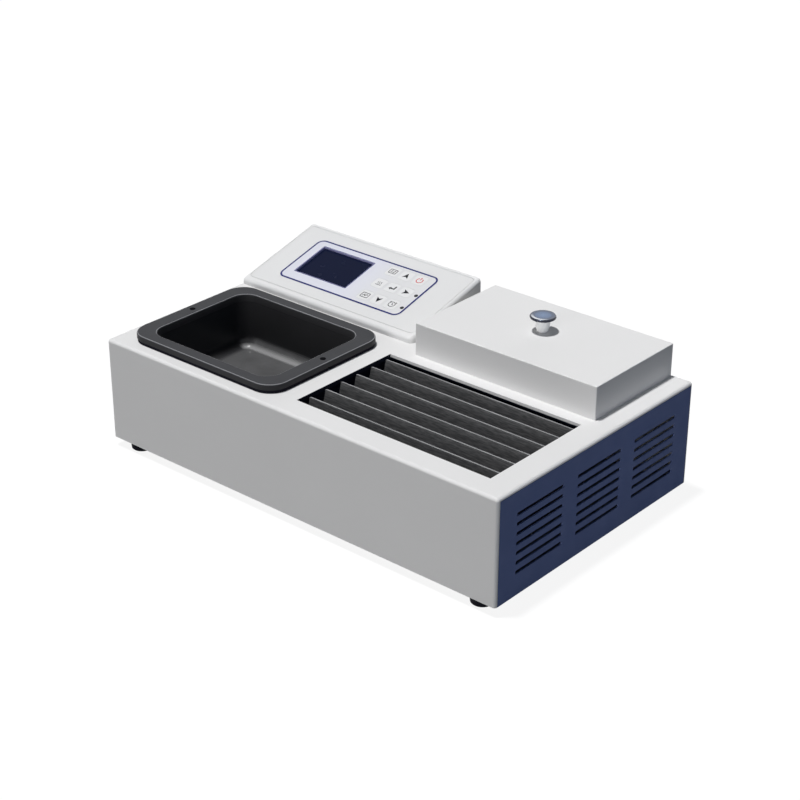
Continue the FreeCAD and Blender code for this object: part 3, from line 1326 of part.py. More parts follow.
top_cover()
base_plate()
side_panel("left_side_panel", LEFT, "+")
side_panel("right_side_panel", RIGHT, "-")
feet()
case_screws()
bath_pan()
bath_gasket()
bath_fasteners()
bath_heating()
slide_well()
for k in range(int(number("rack_plates"))):
    slide_plate(k)
rack_comb("rack_comb_left", f"{WELL_LEFT} + comb_inset")
rack_comb("rack_comb_right", f"{WELL_RIGHT} - comb_inset - comb_thickness")
air_duct()
fan_frame()
fan_rotor()
well_heater()
sensor("well_sensor", f"{WELL_X} - duct_length/2 - duct_flange - sensor_disc/2 - sensor_play", WELL_Y, WELL_UNDER)
lid()
lid_knob()
warming_tray()
control_housing()
face_plate()
display()
key_board()
for name, spot in KEYS.items():
    key(name, *spot)
mains_inlet()
fuse_drawer()
rocker_switch()
power_board()
check_and_write()
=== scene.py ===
import bpy
import json
import math
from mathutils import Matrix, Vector


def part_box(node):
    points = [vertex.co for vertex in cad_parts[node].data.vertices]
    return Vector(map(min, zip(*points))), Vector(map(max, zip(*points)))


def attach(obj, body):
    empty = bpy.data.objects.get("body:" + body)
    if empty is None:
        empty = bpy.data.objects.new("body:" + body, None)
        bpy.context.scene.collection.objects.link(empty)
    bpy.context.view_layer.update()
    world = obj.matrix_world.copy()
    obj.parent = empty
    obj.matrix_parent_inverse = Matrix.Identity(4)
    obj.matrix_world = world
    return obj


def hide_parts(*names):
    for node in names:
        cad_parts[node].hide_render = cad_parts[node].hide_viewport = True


# Tissue flotation bath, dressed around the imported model. Metres, +Z up, +X right, +Y back.

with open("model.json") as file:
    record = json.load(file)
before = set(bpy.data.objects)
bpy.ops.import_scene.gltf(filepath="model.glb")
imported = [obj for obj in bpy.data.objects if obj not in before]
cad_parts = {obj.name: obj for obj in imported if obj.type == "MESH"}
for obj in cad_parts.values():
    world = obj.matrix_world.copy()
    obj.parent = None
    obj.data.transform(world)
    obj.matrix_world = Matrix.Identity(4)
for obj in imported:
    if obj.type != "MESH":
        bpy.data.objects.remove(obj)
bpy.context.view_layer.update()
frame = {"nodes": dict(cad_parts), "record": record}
nodes = frame["nodes"]
MM = 0.001

# Camera, at the photograph's viewing angle

IMAGE_SIZE = 800
FOCAL_PIXELS = 1873.65
AZIMUTH, ELEVATION, ROLL = 40.6003, 26.6522, 0.1726
CAMERA_PLACE = (1.09092, -1.26435, 0.91342)
FILM_WIDTH = 36.0


def make_camera():
    data = bpy.data.cameras.new("camera")
    data.sensor_fit = "HORIZONTAL"
    data.sensor_width = FILM_WIDTH
    data.lens = FILM_WIDTH*FOCAL_PIXELS/IMAGE_SIZE
    data.clip_end = 200
    camera = bpy.data.objects.new("camera", data)
    bpy.context.scene.collection.objects.link(camera)
    turn, rise, roll = (math.radians(angle) for angle in (AZIMUTH, ELEVATION, ROLL))
    back = Vector((math.sin(turn)*math.cos(rise), -math.cos(turn)*math.cos(rise), math.sin(rise)))
    right = (-back).cross(Vector((0, 0, 1))).normalized()
    up = right.cross(-back)
    right, up = right*math.cos(roll) + up*math.sin(roll), up*math.cos(roll) - right*math.sin(roll)
    matrix = camera.matrix_world
    for column, axis in enumerate((right, up, back, Vector(CAMERA_PLACE))):
        for row in range(3):
            matrix[row][column] = axis[row]
    camera.matrix_world = matrix
    bpy.context.scene.camera = camera


# Node materials


def add(tree, kind, inputs=None, **settings):
    made = tree.nodes.new(kind)
    for key, value in settings.items():
        setattr(made, key, value)
    for key, value in (inputs or {}).items():
        if isinstance(value, bpy.types.NodeSocket):
            tree.links.new(value, made.inputs[key])
        else:
            made.inputs[key].default_value = value
    return made


def opaque(color):
    return (*color, 1.0)


def shade(color, amount):
    return opaque([min(1.0, channel*amount) for channel in color])


def ramp(tree, source, stops):
    made = add(tree, "ShaderNodeValToRGB", {"Fac": source})
    elements = made.color_ramp.elements
    while len(elements) < len(stops):
        elements.new(0.5)
    for element, (place, color) in zip(elements, stops):
        element.position = place
        element.color = color
    return made.outputs["Color"]


def spread(tree, source, low, high, from_low=0.3, from_high=0.7):
    return add(tree, "ShaderNodeMapRange", {
        "Value": source, "From Min": from_low, "From Max": from_high,
        "To Min": low, "To Max": high}).outputs["Result"]


def mixed(tree, factor, first, second):
    made = add(tree, "ShaderNodeMix", data_type="RGBA")
    for index, value in ((0, factor), (6, first), (7, second)):
        if isinstance(value, bpy.types.NodeSocket):
            tree.links.new(value, made.inputs[index])
        else:
            made.inputs[index].default_value = value
    return made.outputs[2]


def edge_mask(tree, radius):
    """1 along an edge of the surface, fading to 0 a little way from it."""
    rounded = add(tree, "ShaderNodeBevel", {"Radius": radius}, samples=4)
    plain = add(tree, "ShaderNodeNewGeometry")
    product = add(tree, "ShaderNodeVectorMath",
                  {0: rounded.outputs["Normal"], 1: plain.outputs["True Normal"]}, operation="DOT_PRODUCT")
    return spread(tree, product.outputs["Value"], 1.0, 0.0, 0.80, 0.985)


class Finish:
    """A procedural surface: slow drift in colour, uneven gloss and a fine grain in the relief."""

    def __init__(self, name, color, rough, drift=0.04, drift_scale=9.0, grain=0.15, grain_scale=1400.0,
                 grain_depth=0.00004, stretch=(1, 1, 1), metallic=0.0, specular=0.4, coat=0.0, bevel=0.0,
                 edge=None, edge_color=None):
        self.material = bpy.data.materials.new(name)
        self.material.use_nodes = True
        self.tree = tree = self.material.node_tree
        self.shader = shader = tree.nodes["Principled BSDF"]
        place = add(tree, "ShaderNodeTexCoord").outputs["Object"]
        self.place = place
        self.along = add(tree, "ShaderNodeMapping", {"Vector": place, "Scale": stretch}).outputs["Vector"]
        slow = self.noise(drift_scale, 5.0)
        self.color = ramp(tree, slow, [(0.3, shade(color, 1 - drift)), (0.7, shade(color, 1 + drift))])
        if edge:
            self.color = mixed(tree, edge_mask(tree, edge), self.color, opaque(edge_color))
        self.paint(self.color)
        gloss = self.noise(drift_scale*7, 4.0)
        tree.links.new(spread(tree, gloss, rough*0.88, min(1.0, rough*1.14)), shader.inputs["Roughness"])
        fine = self.noise(grain_scale, 3.0)
        relief = {"Height": fine, "Strength": grain, "Distance": grain_depth}
        if bevel:
            relief["Normal"] = add(tree, "ShaderNodeBevel", {"Radius": bevel}, samples=4).outputs["Normal"]
        self.relief = add(tree, "ShaderNodeBump", relief)
        tree.links.new(self.relief.outputs["Normal"], shader.inputs["Normal"])
        shader.inputs["Metallic"].default_value = metallic
        shader.inputs["Specular IOR Level"].default_value = specular
        shader.inputs["Coat Weight"].default_value = coat
        shader.inputs["Coat Roughness"].default_value = 0.12

    def noise(self, scale, detail):
        return add(self.tree, "ShaderNodeTexNoise",
                   {"Vector": self.along, "Scale": scale, "Detail": detail}).outputs["Fac"]

    def paint(self, color):
        self.tree.links.new(color, self.shader.inputs["Base Color"])

    def part_of(self, socket, axis):
        split = add(self.tree, "ShaderNodeSeparateXYZ", {"Vector": socket})
        return split.outputs[axis]

    def normal(self, axis):
        return self.part_of(add(self.tree, "ShaderNodeNewGeometry").outputs["True Normal"], axis)


WHITE = (0.74, 0.735, 0.732)
NAVY = (0.172, 0.222, 0.435)

FINISHES = {
    # The white paint's lighter edge colour is a painted highlight along its rounded edges.
    "white_paint": dict(color=WHITE, rough=0.42, drift=0.012, grain=0.22, grain_scale=900, bevel=0.0006,
                        specular=0.06, edge=0.0016, edge_color=(0.83, 0.825, 0.82)),
    "navy_paint": dict(color=NAVY, rough=0.6, drift=0.05, grain=0.3, grain_scale=900, bevel=0.0005,
                       specular=0.05, edge=0.0006, edge_color=(0.16, 0.21, 0.40)),
    "zinc_sheet": dict(color=(0.15, 0.155, 0.165), rough=0.5, drift=0.12, drift_scale=30, metallic=0.6,
                       grain=0.1, grain_scale=600),
    "black_rubber": dict(color=(0.008, 0.008, 0.013), rough=0.8, drift=0.2, grain=0.4, grain_scale=1200,
                         specular=0.06),
    "steel_screws": dict(color=(0.5, 0.5, 0.52), rough=0.3, drift=0.08, drift_scale=200, metallic=1.0,
                         grain=0.1, grain_scale=2500, edge=0.0003, edge_color=(0.75, 0.75, 0.76)),
    "dark_screws": dict(color=(0.008, 0.008, 0.009), rough=0.5, drift=0.1, drift_scale=200, grain=0.1,
                        grain_scale=2500, specular=0.06),
    "coated_pan": dict(color=(0.026, 0.026, 0.028), rough=0.40, drift=0.10, drift_scale=14, grain=0.3,
                       grain_scale=1300, grain_depth=0.00005, bevel=0.0006, specular=0.14),
    "heating_mat": dict(color=(0.33, 0.07, 0.03), rough=0.6, drift=0.1, grain=0.6, grain_scale=700),
    "sensor_metal": dict(color=(0.6, 0.6, 0.6), rough=0.3, drift=0.05, metallic=1.0),
    "felt": dict(color=(0.55, 0.52, 0.44), rough=0.95, drift=0.2, drift_scale=60, grain=1.0,
                 grain_scale=500, grain_depth=0.0004, specular=0.1),
    "black_liner": dict(color=(0.008, 0.009, 0.018), rough=0.6, drift=0.15, grain=0.3, grain_scale=900,
                        specular=0.05),
    "rack_plate": dict(color=(0.080, 0.080, 0.081), rough=0.6, drift=0.16, drift_scale=20, grain=0.35,
                       grain_scale=1100, stretch=(0.12, 1, 1), specular=0.15),
    "rack_comb": dict(color=(0.03, 0.03, 0.032), rough=0.5, drift=0.1, grain=0.3),
    "heater_rod": dict(color=(0.22, 0.19, 0.17), rough=0.42, drift=0.25, drift_scale=50, metallic=1.0),
    "black_plastic": dict(color=(0.016, 0.016, 0.018), rough=0.5, drift=0.1, grain=0.6, grain_scale=1500,
                          bevel=0.0004, specular=0.4, edge=0.0004, edge_color=(0.03, 0.03, 0.033)),
    "switch_red": dict(color=(0.42, 0.015, 0.012), rough=0.26, drift=0.05, grain=0.1, coat=0.4,
                       bevel=0.0004),
    "knob": dict(color=(0.92, 0.92, 0.92), rough=0.25, drift=0.02, grain=0.05, bevel=0.0004),
    "tray_steel": dict(color=(0.55, 0.56, 0.57), rough=0.33, drift=0.06, metallic=1.0,
                       stretch=(0.05, 1, 1), grain=0.35, grain_scale=900, drift_scale=120),
    "housing_plastic": dict(color=(0.73, 0.73, 0.73), rough=0.46, drift=0.012, grain=0.3, grain_scale=1000,
                            bevel=0.0006, specular=0.12),
    "face_plastic": dict(color=(0.69, 0.69, 0.69), rough=0.42, drift=0.012, grain=0.2, grain_scale=1000,
                         bevel=0.0003, specular=0.12),
    "keypad_film": dict(color=(0.72, 0.72, 0.76), rough=0.34, drift=0.02, grain=0.25, grain_scale=1600,
                        specular=0.4),
    "key_film": dict(color=(0.72, 0.72, 0.725), rough=0.34, drift=0.02, grain=0.25, grain_scale=1600,
                     bevel=0.0002, specular=0.4),
    "display_lens": dict(color=(0.004, 0.007, 0.026), rough=0.25, drift=0.1, grain=0.03, specular=0.03),
    "display_module": dict(color=(0.03, 0.03, 0.035), rough=0.5),
    "circuit_board": dict(color=(0.02, 0.13, 0.06), rough=0.35, drift=0.15, drift_scale=90, coat=0.2),
    "lamp": dict(color=(0.012, 0.013, 0.014), rough=0.3, drift=0.1, specular=0.15),
    "nylon": dict(color=(0.75, 0.75, 0.7), rough=0.5, drift=0.05),
}


def knob_finish(finish):
    """A white stem under a blue metallic head with a dark rolled rim; the head is painted lighter at its middle as a
    painted reflection, and the front of the rim carries a painted highlight.
    """
    low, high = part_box("lid_knob")
    middle = (low + high)/2
    tree = finish.tree
    centred = add(tree, "ShaderNodeVectorMath", {0: finish.place, 1: (middle.x, middle.y, 0)},
                  operation="SUBTRACT").outputs["Vector"]
    flat = add(tree, "ShaderNodeVectorMath", {0: centred, 1: (1, 1, 0)}, operation="MULTIPLY").outputs["Vector"]
    radius = add(tree, "ShaderNodeVectorMath", {0: flat}, operation="LENGTH").outputs["Value"]
    reach = high.x - middle.x
    out = spread(tree, radius, 0.0, 1.0, 0.0, reach)
    # The head's blue is lighter at the middle and darker outwards, a painted reflection on the metal head.
    head = ramp(tree, out, [
        (0.0, (0.10, 0.18, 0.33, 1)), (0.55, (0.055, 0.11, 0.225, 1)), (0.70, (0.02, 0.045, 0.10, 1)),
        (0.80, (0.05, 0.08, 0.15, 1)), (0.94, (0.006, 0.010, 0.025, 1)), (1.0, (0.010, 0.014, 0.03, 1))])
    # A light crescent on the front of the rim only, a painted highlight.
    ring = ramp(tree, out, [(0.66, (0, 0, 0, 1)), (0.76, (1, 1, 1, 1)), (0.87, (1, 1, 1, 1)), (0.92, (0, 0, 0, 1))])
    front = spread(tree, finish.part_of(centred, "Y"), 1.0, 0.0, -0.8*reach, -0.35*reach)
    painted_crescent_highlight = add(tree, "ShaderNodeMath", {0: ring, 1: front}, operation="MULTIPLY").outputs[0]
    head = mixed(tree, painted_crescent_highlight, head, (0.75, 0.78, 0.82, 1))
    height = finish.part_of(finish.place, "Z")
    line = high.z - 3.0*MM
    on_head = spread(tree, height, 0.0, 1.0, line - 0.05*MM, line + 0.05*MM)
    finish.paint(mixed(tree, on_head, finish.color, head))
    tree.links.new(spread(tree, on_head, 0.0, 0.75, 0, 1), finish.shader.inputs["Metallic"])
    finish.shader.inputs["Coat Weight"].default_value = 0.6
    finish.shader.inputs["Coat Roughness"].default_value = 0.08


def plate_finish(finish):
    """Dark faces, with the bare metal of the sheared edge along the top; only the faces that point up get it, so it
    is partly a painted highlight.
    """
    tree = finish.tree
    # The up-facing top edge is painted as bare metal, and partly as a painted highlight where the top light falls.
    top = spread(tree, finish.normal("Z"), 0.0, 1.0, 0.85, 0.9)
    bare_and_lit_edge = ramp(tree, finish.noise(60, 4.0), [(0.3, (0.24, 0.24, 0.25, 1)), (0.7, (0.34, 0.34, 0.35, 1))])
    speck = ramp(tree, finish.noise(900, 2.0), [(0.36, (0.062, 0.062, 0.064, 1)), (0.64, (0.112, 0.112, 0.114, 1))])
    finish.paint(mixed(tree, top, speck, bare_and_lit_edge))


def film_finish(finish):
    """White film, cooler beside the display."""
    low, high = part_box("keypad_overlay")
    tree = finish.tree
    across = spread(tree, finish.part_of(finish.place, "X"), 0.0, 1.0, low.x, high.x)
    finish.paint(ramp(tree, across, [(0.0, (0.64, 0.65, 0.715, 1)), (0.5, (0.64, 0.65, 0.725, 1)),
                                     (0.75, (0.655, 0.655, 0.665, 1))]))


def pan_finish(finish):
    """Dark coating with painted light and shade: the floor of the bowl is painted lighter as lit, the wall facing +X
    keeps the darkest colour as painted shade, and a painted highlight lies where the sheet is rounded.
    """
    tree = finish.tree
    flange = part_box("bath_pan")[1].z
    rise = finish.normal("Z")
    height = finish.part_of(finish.place, "Z")
    near_top = spread(tree, height, 0.0, 1.0, flange - 8*MM, flange - 5*MM)
    cloud = finish.noise(38, 4.0)
    # The floor of the bowl is painted lighter than the walls, painted light where the top light falls on it.
    floor = ramp(tree, cloud, [(0.3, (0.085, 0.085, 0.087, 1)), (0.7, (0.110, 0.110, 0.113, 1))])
    flange_top = ramp(tree, cloud, [(0.3, (0.026, 0.027, 0.031, 1)), (0.7, (0.031, 0.032, 0.036, 1))])
    level = mixed(tree, near_top, floor, flange_top)
    flat = spread(tree, rise, 0.0, 1.0, 0.10, 0.40)
    # The wall facing +X and the fillet beside it keep the dark base colour, painted shade.
    clear_of_wall_shade = spread(tree, finish.normal("X"), 1.0, 0.0, 0.10, 0.45)
    lit = add(tree, "ShaderNodeMath", {0: clear_of_wall_shade, 1: near_top}, operation="MAXIMUM").outputs[0]
    flat = add(tree, "ShaderNodeMath", {0: flat, 1: lit}, operation="MULTIPLY").outputs[0]
    paint = mixed(tree, flat, finish.color, level)
    # Rounded faces along the back fillet and round the lip and rim are painted light grey, a painted highlight.
    low, high = (spread(tree, rise, *ends) for ends in ((0.0, 1.0, 0.62, 0.86), (1.0, 0.0, 0.93, 0.985)))
    painted_fillet_highlight = add(tree, "ShaderNodeMath", {0: low, 1: high}, operation="MULTIPLY").outputs[0]
    highlight_facing_front = spread(tree, finish.normal("Y"), 1.0, 0.0, -0.30, -0.05)
    both = add(tree, "ShaderNodeMath", {0: highlight_facing_front, 1: near_top}, operation="MAXIMUM").outputs[0]
    painted_fillet_highlight = add(tree, "ShaderNodeMath", {0: painted_fillet_highlight, 1: both}, operation="MULTIPLY").outputs[0]
    light = mixed(tree, near_top, (0.28, 0.28, 0.282, 1), (0.27, 0.272, 0.285, 1))
    finish.paint(mixed(tree, painted_fillet_highlight, paint, light))
    smooth = spread(tree, near_top, 0.27, 0.52, 0, 1)
    tree.links.new(smooth, finish.shader.inputs["Roughness"])


def paint_finish(finish):
    """White paint, with the black liner's paint on the rim that goes down into the slide opening, and the whole wall
    of the opening that faces +X painted black as painted shade.
    """
    tree = finish.tree
    liner_low, liner_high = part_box("slide_well")
    middle = (liner_low + liner_high)/2
    half = (liner_high - liner_low)/2 - Vector((1, 1, 0))*LINER_FLANGE
    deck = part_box("top_cover")[1].z
    inside = spread(tree, finish.normal("Z"), 1.0, 0.0, 0.3, 0.5)
    for axis, k in (("X", 0), ("Y", 1)):
        away = add(tree, "ShaderNodeMath", {0: finish.part_of(finish.place, axis), 1: middle[k]},
                   operation="SUBTRACT").outputs[0]
        away = add(tree, "ShaderNodeMath", {0: away}, operation="ABSOLUTE").outputs[0]
        near = spread(tree, away, 1.0, 0.0, half[k] + 1.5*MM, half[k] + 2*MM)
        inside = add(tree, "ShaderNodeMath", {0: inside, 1: near}, operation="MULTIPLY").outputs[0]
    below = spread(tree, finish.part_of(finish.place, "Z"), 1.0, 0.0, deck - 3.4*MM, deck - 3.0*MM)
    # The wall facing +X is painted the liner's black all the way up, painted shade.
    side = spread(tree, finish.normal("X"), 0.0, 1.0, 0.4, 0.6)
    dark = add(tree, "ShaderNodeMath", {0: below, 1: side}, operation="MAXIMUM").outputs[0]
    dark = add(tree, "ShaderNodeMath", {0: dark, 1: inside}, operation="MULTIPLY").outputs[0]
    finish.paint(mixed(tree, dark, finish.color, (0.010, 0.012, 0.024, 1)))


EXTRA = {"white_paint": paint_finish, "coated_pan": pan_finish, "knob": knob_finish, "rack_plate": plate_finish, "keypad_film": film_finish}


def dress_nodes():
    made = {}
    for slot, settings in FINISHES.items():
        finish = Finish(slot, **settings)
        if slot in EXTRA:
            EXTRA[slot](finish)
        made[slot] = finish.material
    made["fuse_glass"] = glass_material()
    for part in frame["record"]["subparts"]:
        mesh = nodes[part["node"]].data
        mesh.materials.clear()
        mesh.materials.append(made[part["material_slot"]])
    return made


def glass_material():
    """Clear tube with metal caps at its two ends."""
    low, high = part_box("fuse")
    finish = Finish("fuse_glass", (0.8, 0.82, 0.82), 0.12, drift=0.04)
    across = finish.part_of(finish.place, "X")
    cap = 5*MM
    middle = (low.x + high.x)/2
    away = add(finish.tree, "ShaderNodeMath", {0: across, 1: middle}, operation="SUBTRACT").outputs[0]
    away = add(finish.tree, "ShaderNodeMath", {0: away}, operation="ABSOLUTE").outputs[0]
    line = (high.x - low.x)/2 - cap
    metal = spread(finish.tree, away, 0.0, 1.0, line - 0.1*MM, line + 0.1*MM)
    clear = spread(finish.tree, metal, 0.85, 0.0, 0, 1)
    finish.tree.links.new(metal, finish.shader.inputs["Metallic"])
    finish.tree.links.new(clear, finish.shader.inputs["Transmission Weight"])
    return finish.material


# Side panels, with the louvres as tall as the photograph shows them

SLOT_ROWS, FIRST_SLOT, SLOT_PITCH = 7, 33.6*MM, 9.9*MM
SLOT_HALF, SLOT_RAISE = 1.25*MM, 1.3*MM


def dress_panels(paint):
    """Each panel again, with the upper edge of every slot moved up."""
    for node in ("right_side_panel", "left_side_panel"):
        mesh = nodes[node].data.copy()
        wall = max(abs(v.co.x) for v in mesh.vertices)
        for v in mesh.vertices:
            row = round((v.co.z - FIRST_SLOT)/SLOT_PITCH)
            above = v.co.z - FIRST_SLOT - row*SLOT_PITCH
            if 0 <= row < SLOT_ROWS and 0 < above < SLOT_HALF and abs(v.co.x) > wall - 2*MM:
                v.co.z += SLOT_RAISE
        mesh.materials.clear()
        mesh.materials.append(paint)
        panel = bpy.data.objects.new(node + "_louvred", mesh)
        bpy.context.scene.collection.objects.link(panel)
        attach(panel, "chassis")
        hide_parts(node)


# Printed and applied marks: thin closed solids that lie on a face


class Face:
    """A flat face of a node: its middle, and the directions across it, up it and out of it."""

    def __init__(self, node, up, out):
        self.up, self.out = Vector(up).normalized(), Vector(out).normalized()
        self.across = self.up.cross(self.out)
        points = [v.co for v in nodes[node].data.vertices]
        level = max(p.dot(self.out) for p in points)
        flat = [p for p in points if level - p.dot(self.out) < 0.3*MM]
        self.low = [min(p.dot(axis) for p in flat) for axis in (self.across, self.up)]
        self.high = [max(p.dot(axis) for p in flat) for axis in (self.across, self.up)]
        self.middle = (self.across*(self.low[0] + self.high[0])/2 + self.up*(self.low[1] + self.high[1])/2
                       + self.out*level)

    def spot(self, x, y, height=0.0):
        """The point x and y millimetres from the middle, at a height in millimetres above the face."""
        return self.middle + (self.across*x + self.up*y + self.out*height)*MM


def band(points, width, closed):
    """The two rims of a flat line of that width along points, with mitred turns."""
    count = len(points)
    left, right = [], []
    for k, (x, y) in enumerate(points):
        before = points[k - 1] if closed or k else None
        after = points[(k + 1) % count] if closed or k < count - 1 else None
        directions = []
        if before is not None:
            directions.append(Vector((x - before[0], y - before[1])).normalized())
        if after is not None:
            directions.append(Vector((after[0] - x, after[1] - y)).normalized())
        along = sum(directions, Vector((0, 0))).normalized()
        side = Vector((-along.y, along.x))
        stretch = 1/max(0.5, side.dot(Vector((-directions[0].y, directions[0].x))))
        left.append((x + side.x*width/2*stretch, y + side.y*width/2*stretch))
        right.append((x - side.x*width/2*stretch, y - side.y*width/2*stretch))
    return left, right


def arc(x, y, radius, start, end, steps=24):
    angles = [math.radians(start + (end - start)*k/steps) for k in range(steps + 1)]
    return [(x + radius*math.cos(a), y + radius*math.sin(a)) for a in angles]


def rounded(x_low, x_high, y_low, y_high, radius, steps=8):
    spots = [(x_high - radius, y_low + radius, -90), (x_high - radius, y_high - radius, 0),
             (x_low + radius, y_high - radius, 90), (x_low + radius, y_low + radius, 180)]
    return [p for x, y, start in spots for p in arc(x, y, radius, start, start + 90, steps)]


def applied(name, face, body, material, shapes, low=-0.03, high=0.05):
    """One piece made of flat shapes on a face, each ("fill", points) or ("line", points, width, closed)."""
    vertices, faces = [], []

    def level(points, height):
        first = len(vertices)
        vertices.extend(face.spot(x, y, height) for x, y in points)
        return list(range(first, first + len(points)))

    def wall(under, over, closed=True):
        for k in range(len(under) if closed else len(under) - 1):
            after = (k + 1) % len(under)
            faces.append((under[k], under[after], over[after], over[k]))

    for kind, points, *rest in shapes:
        if kind == "fill":
            under, over = level(points, low), level(points, high)
            faces.append(over)
            faces.append(under[::-1])
            wall(under, over)
            continue
        width, closed = rest
        left, right = band(points, width, closed)
        under = level(left, low), level(right, low)
        over = level(left, high), level(right, high)
        count = len(points)
        for k in range(count if closed else count - 1):
            after = (k + 1) % count
            faces.append((over[1][k], over[1][after], over[0][after], over[0][k]))
            faces.append((under[0][k], under[0][after], under[1][after], under[1][k]))
        wall(under[1], over[1], closed)
        wall(under[0][::-1], over[0][::-1], closed)
        if not closed:
            faces.append((under[0][0], under[1][0], over[1][0], over[0][0]))
            faces.append((under[1][-1], under[0][-1], over[0][-1], over[1][-1]))
    mesh = bpy.data.meshes.new(name)
    mesh.from_pydata(vertices, [], faces)
    mesh.update()
    mesh.materials.append(material)
    made = bpy.data.objects.new(name, mesh)
    bpy.context.scene.collection.objects.link(made)
    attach(made, body)
    return made


def arrowhead(turn):
    """A solid arrowhead with a notch in its back, pointing up and then turned."""
    angle = math.radians(turn)
    points = [(0, 4.6), (-3.8, -3.8), (0, -1.7), (3.8, -3.8)]
    return [("fill", [(x*math.cos(angle) - y*math.sin(angle), x*math.sin(angle) + y*math.cos(angle))
                      for x, y in points])]


def wave(x, y, height, width=0.55):
    return ("line", [(x + 0.45*math.sin(2*math.pi*k/10), y + height*k/10) for k in range(11)], width, False)


THIN = 0.8
ICONS = {
    "key_up": arrowhead(0),
    "key_down": arrowhead(180),
    "key_right": arrowhead(-90),
    "key_power": [("line", arc(0, -0.4, 3.7, 125, 415), 0.95, False), ("line", [(0, 0.4), (0, 4.6)], 0.95, False)],
    "key_program": [("line", rounded(-4.6, 4.6, -3.2, 3.2, 0.7), THIN, True),
                    ("line", [(-2.9, 1.1), (-0.5, 1.1)], THIN, False),
                    ("line", [(0.6, 1.1), (2.9, 1.1)], THIN, False),
                    ("line", [(-2.9, -1.1), (2.9, -1.1)], THIN, False)],
    "key_menu": [("line", rounded(-4.7, 4.7, -3.6, 3.6, 0.8), THIN, True),
                 ("line", [(-2.8, -1.6), (-1.2, 1.3), (0.4, -1.3), (1.8, 1.4), (2.8, 0.2)], THIN, False)],
    "key_enter": [("line", [(3.2, 3.4), (3.2, -1.5), (-1.0, -1.5)], 1.7, False),
                  ("fill", [(-1.0, 0.8), (-4.2, -1.5), (-1.0, -3.8)])],
    "key_clock": [("line", arc(0, 0, 3.8, 0, 345, 23), THIN, True),
                  ("line", [(0, 2.2), (0, 0), (1.8, -0.8)], THIN, False),
                  ("line", [(-4.5, 2.9), (-2.9, 4.5)], THIN, False), ("line", [(2.9, 4.5), (4.5, 2.9)], THIN, False)],
    "key_mode": [wave(-2.2, -1.3, 4.0), wave(0, -1.3, 4.0), wave(2.2, -1.3, 4.0),
                 ("line", [(-3.6, -2.6), (3.6, -2.6)], THIN, False)],
}

SLOPE = 0.2715
LENS_MARGIN = 3.0
LINER_FLANGE = 11*MM
FACE_UP, FACE_OUT = (0, 1, SLOPE), (0, -SLOPE, 1)


def printed(name, color, rough=0.4):
    return Finish(name, color, rough, drift=0.12, drift_scale=80, grain=0.1, specular=0.1).material


def lamp_places(face):
    """Where the two lamps stand on the film, in millimetres from its middle."""
    points = [v.co - face.middle for v in nodes["status_leds"].data.vertices]
    spots = [(p.dot(face.across)/MM, p.dot(face.up)/MM) for p in points]
    split = (min(y for _, y in spots) + max(y for _, y in spots))/2
    for one in ([s for s in spots if s[1] < split], [s for s in spots if s[1] >= split]):
        xs, ys = zip(*one)
        yield (min(xs) + max(xs))/2, (min(ys) + max(ys))/2


def dress_bath():
    """A black disc over each of the two screws in the flange, painted shade that makes each screw read as a dark open
    hole.
    """
    flange = Face("bath_pan", (0, 1, 0), (0, 0, 1))
    low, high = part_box("bath_screws")
    radius = (high.y - low.y)/2/MM
    y = ((low.y + high.y)/2 - flange.middle.y)/MM
    # Black discs over the screws stand for the shade inside the screw holes, painted shade.
    black = Finish("screw_hole_shade", (0.002, 0.002, 0.003), 0.8, drift=0.1, drift_scale=80, grain=0.1,
                   specular=0.02).material
    for side, x in (("left", low.x/MM + radius), ("right", high.x/MM - radius)):
        applied("screw_hole_shade_" + side, flange, "chassis", black,
                [("fill", arc(x - flange.middle.x/MM, y, radius + 0.2, 0, 345, 23))], high=0.25)


def dress_display(film, blue):
    """A blue line round the window, a lilac surround down its walls and a blue band on the glass along its lower and
    right edges, a painted glow.
    """
    lens = Face("lcd_lens", FACE_UP, FACE_OUT)
    half_x, half_y = ((lens.high[k] - lens.low[k])/2/MM - LENS_MARGIN for k in range(2))
    offset = lens.middle - film.middle
    x, y = offset.dot(film.across)/MM, offset.dot(film.up)/MM
    depth = -offset.dot(film.out)/MM
    applied("display_line", film, "chassis", blue,
            [("line", rounded(x - half_x - 0.4, x + half_x + 0.4, y - half_y - 0.4, y + half_y + 0.4, 0.5, 2),
              0.7, True)])
    wall = [(-half_x + 0.2, -half_y + 0.2), (half_x - 0.2, -half_y + 0.2), (half_x - 0.2, half_y - 0.2),
            (-half_x + 0.2, half_y - 0.2)]
    applied("display_surround", lens, "chassis", printed("lilac", (0.36, 0.36, 0.60)),
            [("line", wall, 0.3, True)], high=depth - 0.05)
    # A blue band on the lower and right edges of the glass, a painted glow.
    applied("display_painted_glow", lens, "chassis", printed("painted_glow_blue", (0.003, 0.005, 0.07)),
            [("line", [(1 - half_x, 1.1 - half_y), (half_x - 1.1, 1.1 - half_y), (half_x - 1.1, half_y - 1)], 1.4, False)])


def dress_keypad():
    ink, red, blue = printed("ink", (0.012, 0.012, 0.015)), printed("red_ink", (0.55, 0.03, 0.025)), \
        printed("blue_ink", (0.016, 0.020, 0.135))
    for key, shapes in ICONS.items():
        applied("icon_" + key[4:], Face(key, FACE_UP, FACE_OUT), key + "_cap",
                red if key == "key_power" else ink, shapes)
    dress_bath()
    film = Face("keypad_overlay", FACE_UP, FACE_OUT)
    half_x, half_y = ((film.high[k] - film.low[k])/2/MM - 0.75 for k in range(2))
    applied("keypad_border", film, "chassis", blue,
            [("line", rounded(-half_x, half_x, -half_y, half_y, 7.3), 2.0, True)])
    dress_display(film, blue)
    for k, (x, y) in enumerate(lamp_places(film)):
        applied("lamp_ring_%d" % (k + 1), film, "chassis", ink,
                [("line", arc(x, y, 1.75, 0, 345, 23), 0.9, True)])


# Stage


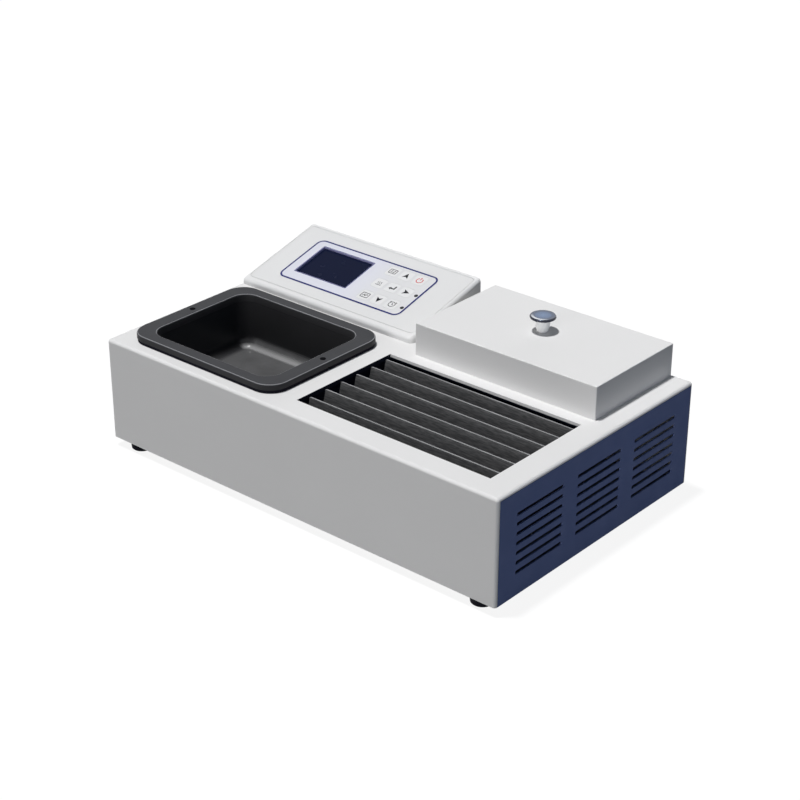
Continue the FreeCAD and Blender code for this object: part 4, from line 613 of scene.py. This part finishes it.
def make_floor():
    material = bpy.data.materials.new("floor")
    material.use_nodes = True
    tree = material.node_tree
    tree.nodes.clear()
    place = add(tree, "ShaderNodeTexCoord").outputs["Object"]
    slow = add(tree, "ShaderNodeTexNoise", {"Vector": place, "Scale": 2.0}).outputs["Fac"]
    color = ramp(tree, slow, [(0.3, (0.115, 0.115, 0.115, 1)), (0.7, (0.125, 0.125, 0.125, 1))])
    lit = add(tree, "ShaderNodeBsdfDiffuse", {"Color": color})
    path = add(tree, "ShaderNodeLightPath")
    seen = add(tree, "ShaderNodeMath", {0: path.outputs["Is Camera Ray"], 1: path.outputs["Is Glossy Ray"]},
               operation="ADD")
    seen = add(tree, "ShaderNodeMath", {0: seen.outputs[0], 1: path.outputs["Is Transmission Ray"]},
               operation="ADD", use_clamp=True)
    strength = add(tree, "ShaderNodeMath", {0: seen.outputs[0], 1: 0.895}, operation="MULTIPLY")
    glow = add(tree, "ShaderNodeEmission", {"Strength": strength.outputs[0]})
    both = add(tree, "ShaderNodeAddShader", {0: lit.outputs[0], 1: glow.outputs[0]})
    add(tree, "ShaderNodeOutputMaterial", {"Surface": both.outputs[0]})
    reach = 40.0
    mesh = bpy.data.meshes.new("floor")
    mesh.from_pydata([(-reach, -reach, 0), (reach, -reach, 0), (reach, reach, 0), (-reach, reach, 0)], [],
                     [(0, 1, 2, 3)])
    mesh.materials.append(material)
    floor = bpy.data.objects.new("floor", mesh)
    bpy.context.scene.collection.objects.link(floor)


def sun(name, toward, strength, angle, color=(1, 1, 1)):
    data = bpy.data.lights.new(name, "SUN")
    data.energy = math.pi*strength
    data.angle = math.radians(angle)
    data.color = color
    lamp = bpy.data.objects.new(name, data)
    bpy.context.scene.collection.objects.link(lamp)
    lamp.rotation_euler = Vector(toward).to_track_quat("Z", "Y").to_euler()


def make_world():
    world = bpy.data.worlds.new("studio")
    bpy.context.scene.world = world
    world.use_nodes = True
    tree = world.node_tree
    tree.nodes.clear()
    path = add(tree, "ShaderNodeLightPath")
    seen = add(tree, "ShaderNodeMath", {0: path.outputs["Is Camera Ray"], 1: path.outputs["Is Glossy Ray"]},
               operation="ADD")
    seen = add(tree, "ShaderNodeMath", {0: seen.outputs[0], 1: path.outputs["Is Transmission Ray"]},
               operation="ADD", use_clamp=True)
    soft = add(tree, "ShaderNodeBackground", {"Color": (0.72, 0.84, 1.0, 1), "Strength": 0.055})
    white = add(tree, "ShaderNodeBackground", {"Color": (1, 1, 1, 1), "Strength": 1.0})
    both = add(tree, "ShaderNodeMixShader", {0: seen.outputs[0], 1: soft.outputs[0], 2: white.outputs[0]})
    add(tree, "ShaderNodeOutputWorld", {"Surface": both.outputs[0]})


make_camera()
materials = dress_nodes()
dress_panels(materials["navy_paint"])
dress_keypad()
make_floor()
make_world()
sun("key_light", (-0.13, -0.12, 0.98), 0.92, 5)
sun("front_light", (0.07, -0.98, 0.08), 0.44, 30)
sun("side_light", (0.97, -0.15, 0.2), 0.05, 50, (0.36, 0.60, 1.0))
sun("back_light", (-0.25, 0.96, 0.05), 0.22, 30)
bpy.context.scene.view_settings.view_transform = "Standard"
